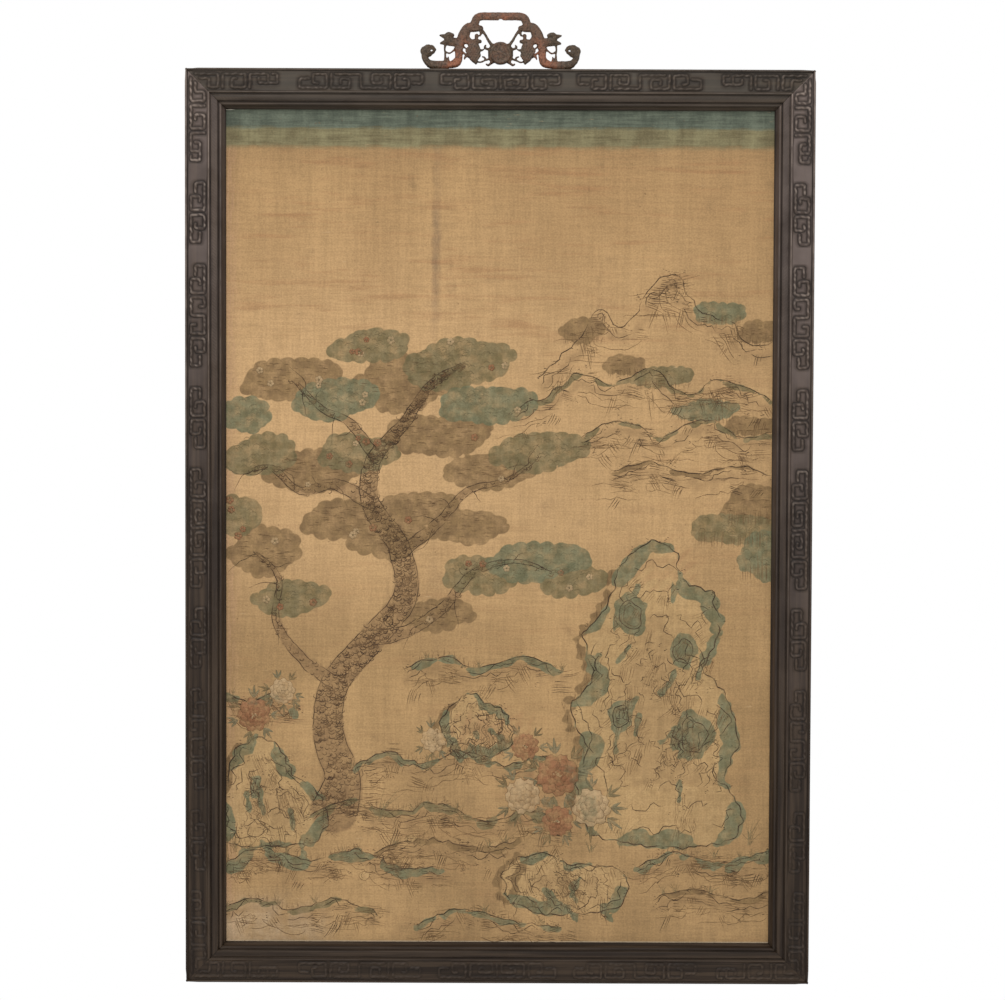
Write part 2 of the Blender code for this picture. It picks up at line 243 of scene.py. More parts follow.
def show(name: str, data: bpy.types.ID) -> Piece:
    """Make an object and put it in the scene.

    Args:
        name: its name.
        data: its mesh, lamp or camera.

    Returns:
        The object.
    """
    obj = bpy.data.objects.new(name, data)
    bpy.context.scene.collection.objects.link(obj)
    return obj


def note(mesh: bpy.types.Mesh, values: dict[str, Array]) -> None:
    """Keep numbers on a mesh.

    Args:
        mesh: the mesh.
        values: by name, a number for each of its points.
    """
    for key, numbers in values.items():
        layer = mesh.attributes.new(key, "FLOAT", "POINT")
        layer.data.foreach_set("value", np.asarray(numbers, np.float32))


def read(items: bpy.types.bpy_prop_collection, key: str, width: int = 1, kind: type = np.float32) -> Array:
    """Read one property of all of a mesh's points, corners or faces.

    Args:
        items: the points, corners or faces.
        key: the property's name.
        width: how many numbers each has.
        kind: type of the numbers.

    Returns:
        The numbers, one row for each item.
    """
    numbers = np.empty(len(items) * width, kind)
    items.foreach_get(key, numbers)
    return numbers.reshape(-1, width).squeeze()


def dress(piece: Piece, finish: Finish) -> Piece:
    """Give a piece its finish and its body.

    Args:
        piece: the piece.
        finish: its finish.

    Returns:
        The piece.
    """
    piece.data.materials.clear()
    piece.data.materials.append(finish)
    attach(piece, BODY)
    return piece


def smooth_path(controls: Points, spacing: float) -> tuple[Array, Array]:
    """Places on a smooth curve through control points.

    Args:
        controls: complex places, or rows of x, z and, if wanted, a width.
        spacing: wanted distance between places, in the table's unit.

    Returns:
        The complex places, and the width at each, 1 where none was given.
    """
    rows = np.asarray(controls)
    widths = rows[:, 2] if rows.ndim > 1 and rows.shape[1] > 2 else np.ones(len(rows))
    rows = np.column_stack([flat(rows), widths])
    padded = np.vstack([rows[:1], rows, rows[-1:]])
    path = []
    for before, here, there, after in zip(padded, padded[1:], padded[2:], padded[3:]):
        steps = max(1, round(abs(there[0] - here[0]) / spacing))
        t = (np.arange(steps) / steps)[:, None]
        path.append(0.5 * (2 * here + (there - before) * t
                           + (2 * before - 5 * here + 4 * there - after) * t ** 2
                           + (3 * here - before - 3 * there + after) * t ** 3))
    path = np.vstack([*path, rows[-1:]])
    return path[:, 0], path[:, 1].real


def flat(rows: Points) -> Array:
    """Rows of x and z as complex places; complex places stay as they are."""
    rows = np.asarray(rows)
    return rows if rows.ndim < 2 else rows[:, 0] + 1j * rows[:, 1]


def sideways(path: Array) -> Array:
    """Unit vectors to the left of a path, at each of its places."""
    ahead = np.gradient(path)
    return 1j * ahead / np.maximum(abs(ahead), 1e-9)


def span_distance(places: Array, start: complex, end: complex) -> Array:
    """Distance of places from a straight line.

    Args:
        places: the places.
        start: where the line starts.
        end: where it ends.

    Returns:
        The distance of each place.
    """
    step = end - start
    share = ((places - start) * np.conj(step)).real / (abs(step) ** 2 + 1e-9)
    return abs(places - start - np.clip(share, 0, 1) * step)


def waves(place: Array, seed: int, size: float, count: int = 5) -> Array:
    """Smooth random unevenness from a few sine waves.

    Args:
        place: complex places.
        seed: picks the waves.
        size: the usual length of a wave, in the unit of place.
        count: how many waves are added up.

    Returns:
        Values from about -1 to 1, one for each place.
    """
    draw = np.random.default_rng(seed)
    turns = draw.uniform(0, math.tau, count)
    rates = draw.uniform(0.6, 1.7, count) * math.tau / size
    phases = draw.uniform(0, math.tau, count)
    total = sum(np.sin(rate * (place * rect(1, -turn)).real + phase)
                for turn, rate, phase in zip(turns, rates, phases))
    return total / math.sqrt(count)


# ---- camera, floor and light
@dataclass
class Studio:
    """Long-lens camera square to the panel, a pale floor and soft lamps above."""

    distance: float = 4.0
    tilt: float = math.radians(2.2)  # the camera stands a little high
    roll: float = math.radians(0.22)
    view_width: float = 1.608  # what the view takes in, in m
    aim: Pair = (0.0058, 0.046)  # from the frame's middle
    floor_drop: float = 0.8  # floor below the frame
    floor_reach: Triple = (4.0, -4.6, 3.0)
    key_energy: float = 40.0
    fill_energy: float = 4.0

    def camera(self) -> None:
        """Make the scene's camera."""
        lens = bpy.data.cameras.new("camera")
        lens.sensor_width = 36.0
        lens.lens = lens.sensor_width * self.distance / self.view_width
        camera = show("camera", lens)
        target = Vector((self.aim[0], 0.0, CENTRE_Z + self.aim[1]))
        back = Vector((0.0, -math.cos(self.tilt), math.sin(self.tilt)))
        turn = Matrix.Rotation(math.pi / 2 - self.tilt, 4, "X")
        turn = turn @ Matrix.Rotation(self.roll, 4, "Z")
        camera.matrix_world = Matrix.Translation(target + back * self.distance) @ turn
        bpy.context.scene.camera = camera

    def lamp(self, name: str, place: Triple, size: Pair, energy: float) -> None:
        """Hang one soft lamp that faces the panel.

        Args:
            name: the lamp's name.
            place: where it hangs.
            size: width and height of its window, in m.
            energy: power in watts.
        """
        data = bpy.data.lights.new(name, "AREA")
        data.shape = "RECTANGLE"
        data.size, data.size_y = size
        data.energy = energy
        lamp = show(name, data)
        toward = Vector((0.0, 0.0, CENTRE_Z)) - Vector(place)
        lamp.matrix_world = Matrix.Translation(place) @ toward.to_track_quat("-Z", "Y").to_matrix().to_4x4()

    def floor(self) -> None:
        """Lay a painted floor below the hanging panel."""
        side, near, far = self.floor_reach
        level = CENTRE_Z - FRAME_SIZE[2] / 2 - self.floor_drop
        corners = np.array([(-side, near, level), (side, near, level), (side, far, level),
                            (-side, far, level)])
        floor = mesh_object("floor", corners, [(0, 1, 2, 3)], smooth=False)
        shade = Shade("painted studio floor")
        mottle = shade.grains(400)
        colour = shade.add(MIX, mottle, "f4f3f1", "fbfaf8")
        floor.data.materials.append(shade.finish(mottle, 0.0, Base_Color=colour, Roughness=0.8,
                                                 Specular_IOR_Level=0.2))

    def build(self) -> None:
        """Set up camera, floor, lamps and the white surroundings."""
        self.camera()
        self.floor()
        self.lamp("softbox_above", (-0.5, -2.3, 1.35), (2.6, 1.1), self.key_energy)
        self.lamp("softbox_front", (0.9, -3.6, 0.1), (2.0, 1.6), self.fill_energy)
        world = bpy.data.worlds.new("white surroundings")
        world.use_nodes = True
        glow = world.node_tree.nodes["Background"].inputs
        glow["Color"].default_value = (1, 1, 1, 1)
        glow["Strength"].default_value = 1.0
        bpy.context.scene.world = world
        bpy.context.scene.view_settings.view_transform = "Standard"


# ---- woods
@dataclass(frozen=True)
class DarkHardwood:
    """Dense dark hardwood, carved and waxed: nearly black, a dull sheen, a dusty film.

    The film is painted lighter high up and to the right, as painted light.  Wear and
    painted highlights show as lighter arrises, most high up; old wax, dirt and painted
    shade show as darker hollows, darker low down.
    """

    grain: Axis
    heart: str = "211811"
    vein: str = "3b2f24"
    arris_and_highlight: str = "8a7c72"
    # for dirty pores, and painted shade in hollows and low down
    grime: str = "0a0705"
    dust_film_and_light: tuple[str, str] = ("534e46", "685c57")  # dusty film, laid lighter high up as painted light, on rails and stiles
    film: Pair = (0.56, 0.95)  # its strength on each
    pore_mm: Pair = (1.1, 26.0)  # pores, drawn coarser than real
    figure_mm: Pair = (7.0, 240.0)

    def material(self) -> Finish:
        """Build the finish.

        Returns:
            The material.
        """
        shade = Shade(f"waxed dark hardwood {self.grain.name.lower()}")
        add = shade.add
        upright = self.grain is Axis.ALONG_Z
        sizes = ([along if axis == self.grain.value else across for axis in range(3)]
                 for across, along in (self.figure_mm, self.pore_mm))
        figure = shade.grains(next(sizes), 3.0)
        pores = shade.grains(next(sizes), 2.0, seed=4.0)
        patches = shade.grains(60, 3.0, seed=9.0)
        rubs = shade.grains(22, 3.0, seed=2.0)
        x, z = (add("SeparateXYZ", shade.place, out=axis) for axis in "XZ")
        z = add(MINUS, z, CENTRE_Z)
        # painted light and dust: the dusty film is laid lighter high up and a little more to the
        # right; low down, painted shade darkens the grime
        height = add(TIMES_PLUS, x, 0.28, z)
        dust, grime, worn = (add("Attribute " + key, out="Fac") for key in ("dust", "grime", "worn"))
        colour = shade.over(self.heart, self.vein, (figure, 0.35, 0.7))
        colour = shade.over(colour, self.grime, (pores, 0.6, 0.74, 0.0, 0.5))
        # painted light: the film shows lighter high up and to the right
        colour = shade.over(colour, self.dust_film_and_light[upright], dust, self.film[upright], (height, -0.48, 0.82),
                            (patches, 0.2, 0.75, 0.4, 1.0))
        # painted shade as well as grime: darker in the hollows and grooves, and more so low down
        colour = shade.over(colour, self.grime, grime, (height, -0.8, 0.3, 0.4, 1.0),
                            (patches, 0.2, 0.7, *((1.0, 0.7) if upright else (0.8, 0.5))))
        # painted highlight as well as wear: lighter arrises, strongest high up where the light falls
        colour = shade.over(colour, self.arris_and_highlight, worn, (rubs, 0.3, 0.7, 0.2, 1.0),
                            (z, -0.35, 0.75, *((0.12, 1.0) if upright else (0.1, 0.28))))
        rough = add(STEP, patches, 0.3, 0.7, 0.42, 0.58)
        return shade.finish(pores, 0.07, Base_Color=colour, Roughness=rough, Specular_IOR_Level=0.16)


@dataclass(frozen=True)
class RedHardwood:
    """Reddish hardwood, carved thin and handled: rubbed red-brown, sides in painted shade."""

    worn_red: str = "84523a"
    brown: str = "584030"
    olive: str = "463829"
    # for dirt in the grain, and painted shade on the side faces
    grime: str = "17110c"
    dust: str = "7d6a58"
    pore_mm: Triple = (12.0, 0.9, 0.9)

    def material(self) -> Finish:
        """Build the finish.

        Returns:
            The material.
        """
        shade = Shade("handled red hardwood")
        add = shade.add
        patches = shade.grains(10, 3.0, seed=3.0)
        fine = shade.grains(2.5, 2.0, seed=7.0)
        pores = shade.grains(self.pore_mm, 2.0, seed=5.0)
        red = add(PLUS, add("Attribute red", out="Fac"), add(TIMES_PLUS, patches, 1.1, -0.6))
        colour = shade.over(self.olive, self.brown, (red, 0.05, 0.5))
        for tone, *amount in ((self.worn_red, red, 0.45, 1.0), (self.grime, fine, 0.46, 0.68, 0.0, 0.64),
                              (self.dust, fine, 0.42, 0.28, 0.0, 0.3),
                              (self.grime, pores, 0.58, 0.7, 0.0, 0.4)):
            colour = shade.over(colour, tone, tuple(amount))
        # painted shade on the side faces, noted on the mesh
        colour = shade.over(colour, self.grime, add("Attribute grime", out="Fac"))
        return shade.finish(fine, 0.2, Base_Color=colour, Specular_IOR_Level=0.28,
                            Roughness=add(STEP, patches, 0.3, 0.7, 0.42, 0.62))


# ---- carved frame
CELL = 3.6  # mm, width of a fret band and of the gap beside it
FRET_ROWS = 7
FIELD = (5.2, 35.4)  # mm across the rail
FIELD_LEVEL = 27.3  # mm above the rail's back
FRET_MARGIN = (sum(FIELD) - FRET_ROWS * CELL) / 2
# Fret groups: length in cells, strokes of the first half, strokes in the middle.  Each
# stroke gives the cells at its corners, across and along; the second half repeats the
# first, turned half round.
END_HOOK = ((2, 4), (2, 0), (6, 0), (6, 12), (0, 12), (0, 6), (4, 6), (4, 8))
FRETS = {
    "corner": (0, (), (((0, 2), (0, 12), (6, 12), (6, 8), (2, 8), (2, 4)),
                       ((6, 14), (0, 14), (0, 24), (6, 24), (6, 18), (2, 18), (2, 20)),
                       ((6, 26), (0, 26), (0, 34), (4, 34), (4, 30), (2, 30)),
                       ((4, 34), (4, 38), (0, 38), (0, 36)))),
    "short": (26, (END_HOOK,), ()),
    "long": (44, (END_HOOK,), (((4, 18), (6, 18), (6, 14), (0, 14), (0, 22), (6, 22),
                                (6, 30), (0, 30), (0, 26), (2, 26)),)),
    "rail": (54, (END_HOOK, ((0, 14), (6, 14), (6, 22), (2, 22), (2, 18), (4, 18))),
             (((0, 16), (0, 27), (6, 27), (6, 38)),)),
    # this one's second half is a mirror image of the first
    "centre": (52, (((4, 4), (4, 0), (0, 0), (0, 12), (6, 12), (6, 6), (2, 6), (2, 8)),
                    ((6, 26), (0, 26), (0, 14), (6, 14), (6, 24), (2, 24), (2, 18),
                     (4, 18), (4, 20))), ()),
}
STILE_GROUPS = {"corner": FRET_MARGIN, "short": 180.0, "long": 311.0, "flipped": 506.0}
RAIL_GROUPS = {"corner": FRET_MARGIN, "rail": 180.0}


def group_strokes(kind: str) -> list[Array]:
    """Strokes of one fret group.

    Args:
        kind: its name.

    Returns:
        The strokes, as cells: along + i across.
    """
    if kind == "flipped":
        return [stroke.conj() + (FRET_ROWS - 1) * 1j for stroke in group_strokes("short")]
    length, half, middle = FRETS[kind]
    half, middle = ([1j * flat(stroke).conj() for stroke in part] for part in (half, middle))
    if kind == "centre":
        return half + [length - stroke.conj() for stroke in half]
    return half + middle + [complex(length, FRET_ROWS - 1) - stroke for stroke in half]


def rounded(stroke: Array, radius: float = 0.9) -> Array:
    """The stroke with its corners rounded off.

    Args:
        stroke: its corners, in cells.
        radius: how far before and after a corner the curve starts and ends.

    Returns:
        The places along the rounded stroke.
    """
    path = [stroke[:1]]
    t = np.array([0.0, 0.33, 0.67, 1.0])
    for before, corner, after in zip(stroke, stroke[1:], stroke[2:]):
        first, last = (corner + (end - corner) * min(0.5, radius / abs(end - corner))
                       for end in (before, after))
        path.append((1 - t) ** 2 * first + 2 * t * (1 - t) * corner + t ** 2 * last)
    return np.concatenate([*path, stroke[-1:]])


@dataclass
class Row:
    """One line of points along a rail; a value is for all of them, or one for each."""

    u: float  # mm from the outer edge
    height: Array | float
    # lighter arrises from wear and a painted highlight; darker hollows from grime and painted shade
    worn: Array | float
    grime: Array | float
    dust: Array | float
    fine: bool = True


@dataclass
class CarvedRail:
    """One rail of the frame: a moulding with fret carving and mitred ends.

    Locally X runs along the rail, Y from its outer edge inwards and Z to the front.
    """

    name: str
    length: float  # mm
    turn: float  # about Y, in radians
    half_groups: dict[str, float]  # fret groups and where each starts, in mm
    column: float = 1.3  # mm between points along carved parts
    coarse: int = 16  # plain mouldings use one point in so many
    fret_height: float = 1.7
    fret_half: float = 2.0  # mm, half a band's width
    rope_pitch: float = 5.2  # mm between the twists of the inner band
    rope_depth: float = 0.22
    corner_radius: float = 4.0
    setback: float = 0.21  # mm, left free along each mitre
    # across, up, in mm: outer side, front mouldings, then groove, inner side and back
    outer: Points = ((0, 0), (0, 14), (0, 26.6), (0.25, 27.9), (0.9, 28.6), (2.7, 28.6), (3.2, 28.1),
                     (3.6, 26.9), (4.1, 26.6), (4.7, 27.0), (5.2, 27.6))
    ridge: Points = ((35.4, 27.6), (36.0, 28.3), (36.7, 28.9), (37.6, 29.0), (38.4, 28.8), (39.1, 27.6),
                     (39.8, 26.1), (40.5, 25.8), (41.3, 26.2), (41.8, 26.9), (42.2, 27.3))
    band: Points = ((43.6, 27.7), (45.1, 27.9), (46.6, 28.0), (48.1, 27.9), (49.6, 27.7))
    bead: Points = ((51.0, 27.3), (51.6, 26.6), (52.2, 25.4), (52.9, 24.9), (53.6, 25.4), (54.2, 26.4),
                    (54.9, 27.0), (55.6, 27.4), (56.4, 27.5), (57.2, 27.4), (57.9, 27.0), (58.5, 26.1),
                    (59.1, 24.6), (59.8, 23.0), (60.7, 21.2), (61.8, 19.4), (63.0, 18.1), (64, 17.2),
                    (64, 14.2), (57, 14.2), (57, 12), (64, 12), (64, 0))
    # where arrises are rubbed and given a painted highlight, and how much
    highlight_and_wear_at: Points = ((0.7, 0.6), (2.8, 0.5), (37.6, 1.0), (42.4, 0.25), (50.9, 0.2), (56.4, 0.45))
    # grooves darkened by grime and painted shade
    shaded_and_grimy_at: tuple = (4.1, 40.5, 52.9, 63.4)

    def layout(self) -> list[tuple[str, float, int]]:
        """Lay out the fret groups.

        Returns:
            For each its kind, its start in mm, and 1 or -1 for its direction.
        """
        groups = [("centre", (self.length - (FRETS["centre"][0] + 1) * CELL) / 2, 1)]
        for kind, start in self.half_groups.items():
            groups += [(kind, start, 1), (kind, self.length - start, -1)]
        return groups

    def fret_distance(self, places: Array) -> Array:
        """Distance of places from the middle of the nearest fret band.

        Args:
            places: rows of places, along + i across, in mm from the rail's middle.

        Returns:
            Distances in mm.
        """
        nearest = np.full(places.shape, 99.0)
        for kind, start, sign in self.layout():
            for stroke in group_strokes(kind):
                cells = CELL * (rounded(stroke) + 0.5 + 0.5j)
                line = (start + sign * cells.real - self.length / 2 + 1j * (FRET_MARGIN + cells.imag))
                for here, there in zip(line, line[1:]):
                    ends = sorted((here.real, there.real))
                    left, right = np.searchsorted(places[0].real, (ends[0] - 6, ends[1] + 6))
                    part = np.s_[:, left:right]
                    nearest[part] = np.minimum(nearest[part], span_distance(places[part], here, there))
        return nearest

    def carved_rows(self, columns: Array) -> list[Row]:
        """Rows of points across the carved field.

        Args:
            columns: places along the rail, in mm.

        Returns:
            Rows with their heights, and at each point its wear and painted highlight, and its
            grime and painted shade.
        """
        across = np.unique(np.concatenate([
            [FIELD[0] + 1.2, FIELD[1] - 1.2],
            FRET_MARGIN + np.arange(-1, FRET_ROWS * 4 + 2) * CELL / 4]))
        place = columns + 1j * across[:, None]
        distance = self.fret_distance(place + 0.35 * waves(place, 3, 17.0) + 0.35j * waves(place, 4, 15.0))
        tired = 0.8 + 0.2 * waves(place, 11, 70.0)
        crest = np.sqrt(np.clip(1 - (distance / self.fret_half) ** 2, 0, 1))
        moat = np.exp(-((distance - 2.9) / 0.9) ** 2)
        height = (FIELD_LEVEL + self.fret_height * crest ** 0.6 * tired - 0.6 * moat
                  + 0.1 * waves(place, 5, 34.0))
        rubbed = np.clip(0.45 + 0.75 * waves(place, 6, 9.0), 0, 1)
        # the edges of the bands' crests get wear and a painted highlight
        worn = 0.95 * np.exp(-((distance - 0.6) / 0.9) ** 2) * rubbed
        # the moat round each band is darkened by grime and painted shade
        return [Row(u, height[i], worn[i], 0.92 * moat[i], np.clip(distance[i] / 9, 0.42, 1))
                for i, u in enumerate(across)]

    def roped_rows(self, columns: Array) -> list[Row]:
        """Rows of the inner band, with its faint slanting twists.

        Args:
            columns: places along the rail, in mm.

        Returns:
            The rows, as for the carved field.
        """
        rows = []
        for u, v in self.band:
            twist = (np.abs(columns) + 0.9 * u) / self.rope_pitch
            groove = np.maximum(0, np.cos(math.tau * twist)) ** 3
            fade = 0.55 + 0.45 * waves(columns + 0j, 8, 60.0)
            height = v - self.rope_depth * groove * fade
            # raised twists get a little wear and painted highlight, the grooves grime and painted shade
            rows.append(Row(u, height, 0.12 * (1 - groove), 0.28 * groove, 0.46))
        return rows

    def plain_rows(self, table: Points) -> list[Row]:
        """Rows of a plain moulding.

        Args:
            table: its section: across and up, in mm.

        Returns:
            The rows, as for the carved field.
        """
        rows = []
        for u, v in table:
            # arrises get wear and a painted highlight, grooves grime and painted shade
            worn = max(share * math.exp(-((u - at) / 0.5) ** 2) for at, share in self.highlight_and_wear_at)
            grime = max(math.exp(-((u - at) / 0.8) ** 2) for at in self.shaded_and_grimy_at)
            rows.append(Row(u, v, worn * (v > 26), grime, 0.55 if u < 42 else 0.34, False))
        return rows

    def build(self) -> Piece:
        """Build the rail's mesh, turned to its side of the frame.

        Returns:
            The rail.
        """
        count = 2 * round(self.length / self.column / 2 / self.coarse) * self.coarse
        columns = (np.arange(count + 1) / count - 0.5) * self.length
        rows = (self.plain_rows(self.outer) + self.carved_rows(columns) + self.plain_rows(self.ridge)
                + self.roped_rows(columns) + self.plain_rows(self.bead))
        points, extra, maps = [], {"worn": [], "grime": [], "dust": []}, []
        total = 0
        for row in rows:
            reach = self.length / 2 - row.u - self.setback
            used = np.abs(columns) < reach - 0.2
            if not row.fine:
                used &= np.arange(count + 1) % self.coarse == 0
            inside = np.flatnonzero(used)
            picks = np.concatenate([[inside[0]], inside, [inside[-1]]])
            x = np.concatenate([[-reach], columns[inside], [reach]])
            from_end = np.maximum(np.abs(x) - self.length / 2 + self.corner_radius, 0)
            arc = self.corner_radius - np.sqrt(self.corner_radius ** 2 - from_end ** 2)
            y = np.maximum(row.u, arc)
            z = np.broadcast_to(row.height, columns.shape)[picks]
            points.append(np.column_stack([x, y, z]))
            for key, values in extra.items():
                values.append(np.array(np.broadcast_to(getattr(row, key), columns.shape)[picks]))
            if row.fine and 6 < row.u < 34:
                extra["worn"][-1][[0, -1]] = 0.8  # rubbed along the mitre
            numbers = np.full(count + 1, -1)
            numbers[inside] = total + 1 + np.arange(len(inside))
            numbers[columns <= -reach + 0.2] = total
            numbers[columns >= reach - 0.2] = total + len(inside) + 1
            maps.append(numbers)
            total += len(x)
        faces = []
        for here, there, row, after in zip(maps, maps[1:] + maps[:1], rows, rows[1:] + rows[:1]):
            step = 1 if row.fine and after.fine else self.coarse
            for start in range(0, count, step):
                ring = [*here[start:start + step + 1], *there[start:start + step + 1][::-1]]
                face = [i for i, j in zip(ring, ring[-1:] + ring[:-1]) if i != j and i >= 0]
                face = [i for i, j in zip(face, face[-1:] + face[:-1]) if i != j]
                if len(face) > 2:
                    faces.append(face)
        faces.append([numbers[0] for numbers in maps])
        faces.append([numbers[-1] for numbers in maps][::-1])
        local = np.vstack(points) * MM
        across = FRAME_SIZE[2] if abs(math.cos(self.turn)) > 0.5 else FRAME_SIZE[0]
        spin = Matrix.Rotation(self.turn, 3, "Y")
        turned = np.array(spin @ Matrix.Rotation(math.pi / 2, 3, "X"))
        centre = np.array([0.0, BACK_Y, CENTRE_Z]) + spin @ Vector((0, 0, -across / 2))
        return mesh_object(self.name + "_carved", local @ turned.T + centre, faces,
                           {k: np.concatenate(v) for k, v in extra.items()})


@dataclass
class Frame:
    """Two rails and two stiles, mitred together and carved."""

    sides: tuple = (("rail_bottom", 0.0, RAIL_GROUPS, Axis.ALONG_X),
                    ("stile_right", -math.pi / 2, STILE_GROUPS, Axis.ALONG_Z),
                    ("rail_top", math.pi, RAIL_GROUPS, Axis.ALONG_X),
                    ("stile_left", math.pi / 2, STILE_GROUPS, Axis.ALONG_Z))

    def build(self) -> list[Piece]:
        """Carve and dress the four sides.

        Returns:
            The four pieces.
        """
        finishes = {grain: DarkHardwood(grain).material() for grain in Axis}
        pieces = []
        for name, turn, groups, grain in self.sides:
            length = FRAME_SIZE[grain.value] / MM
            rail = CarvedRail(name, float(length), turn, groups).build()
            pieces.append(dress(rail, finishes[grain]))
            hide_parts(name)
        return pieces


# ---- hanger
# Left half: control points (x, z above the frame, width) in mm, and the thickness as a
# share of the hanger's.
HANGER_LIMBS = {
    "handle": (1.0, ((3, 84.3, 12.8), (-16, 84.3, 12.8), (-30, 84.1, 12.9), (-37.5, 81.3, 13.2),
                     (-40.6, 75, 13.4), (-43, 68, 14))),
    "arm": (1.0, ((-43, 68, 13), (-51.5, 66, 15.5), (-58.5, 57, 15.5), (-62, 48, 15.5), (-65.5, 38, 14.5),
                  (-66.4, 29, 12.4), (-66.4, 19, 12.2), (-68.5, 10.5, 11), (-76, 6.6, 8.6),
                  (-90, 6.2, 8.4))),
    "foot": (1.0, ((-86, 7, 14), (-104, 7, 14), (-112, 8.6, 13))),
    "scroll": (0.9, ((-106, 7.4, 12), (-115, 11, 11), (-120.4, 19, 10), (-120.6, 27, 10))),
    "scroll_head": (1.0, ((-118.6, 29, 18), (-115, 29.8, 20.8), (-111.6, 31, 17))),
    "scroll_beak": (0.7, ((-110, 31, 13), (-106.6, 31, 8), (-104.4, 31.4, 5))),
    "wing": (0.75, ((-66, 42, 15), (-76, 44, 14), (-84, 47, 12))),
    "wing_curl": (0.9, ((-83, 46, 10), (-86.0, 51.6, 9), (-82.6, 55.2, 8.6), (-76.4, 54.2, 6))),
    "wing_tip": (0.6, ((-80, 50, 11), (-88, 52.2, 8.6), (-96.4, 54, 2.4))),
    "wing_barb": (0.6, ((-76, 42, 11), (-86, 43.0, 10), (-94.6, 41.6, 4))),
    "wing_strut": (0.4, ((-87, 43, 5), (-88.8, 33, 3), (-88, 24, 3), (-88, 12, 5))),
    "wing_loop": (0.4, ((-88.6, 29, 3), (-82, 25.8, 2.8), (-75.6, 29.4, 2.8), (-70, 36, 3.4))),
    "claw": (0.6, ((-84, 10, 7), (-83.4, 15, 4.6), (-83, 19.8, 1.8))),
    "heel": (0.7, ((-68, 18, 8), (-73, 13.6, 7), (-80, 10.4, 5))),
    "snout": (1.0, ((-47, 66, 14), (-38, 65.6, 12), (-31.8, 65.4, 8.6))),
    "jaw": (0.6, ((-31.5, 64, 6.6), (-31, 58.6, 5), (-32.6, 53.6, 2.4))),
    "whisker": (0.4, ((-30, 62.6, 5), (-24.6, 55.4, 4.2), (-19.4, 46.4, 4.4), (-12.6, 37, 6))),
    "shoulder": (0.75, ((-60, 46, 9), (-49, 43.4, 9), (-40, 44.2, 9), (-32.8, 44.6, 6))),
    "crest": (0.6, ((-38, 45, 6.4), (-38.4, 49.6, 5.4), (-38, 53.2, 7.2))),
    "cheek": (0.7, ((-49, 46, 7), (-51.5, 52, 5), (-50.5, 58, 5))),
    "tail": (0.8, ((-48, 42, 11), (-43.6, 36, 20), (-42.6, 26, 22), (-41.6, 17.6, 15), (-39.4, 10.6, 5))),
    "tail_barb": (0.6, ((-34, 31, 5), (-29.6, 30.6, 3.4), (-26.6, 32.4, 1.6))),
    "tail_spur": (0.6, ((-52, 24, 6), (-56, 20, 4), (-57.6, 16.4, 1.8))),
    "upper_fin": (0.4, ((-60.4, 38, 3.4), (-55.2, 33.2, 2.8), (-49, 29, 3.4))),
    "lower_fin": (0.4, ((-62, 29, 4), (-56.4, 24.6, 3.4), (-50, 20, 4.4))),
    "disc_side": (0.7, ((-12.6, 38.6, 6), (-17, 31, 5.4), (-17, 20.6, 5.4), (-13.4, 12.6, 6))),
    "disc_curl": (0.4, ((-16.4, 32.6, 4), (-22.6, 33, 3.8), (-25.4, 35.6, 3.6), (-23.6, 38.4, 2.8))),
    "tail_loop": (0.4, ((-40, 13.6, 3), (-32, 11.8, 2.8), (-25.4, 14.4, 2.8), (-15, 18, 4))),
    "tail_curl": (0.4, ((-25, 14.6, 3), (-24.8, 18.8, 3), (-28.6, 20.4, 2.4))),
    "disc_foot": (0.5, ((-9.6, 13.6, 6), (-15.8, 9.8, 4), (-19.4, 7, 3.6), (-22.4, 8.8, 2.6))),
}
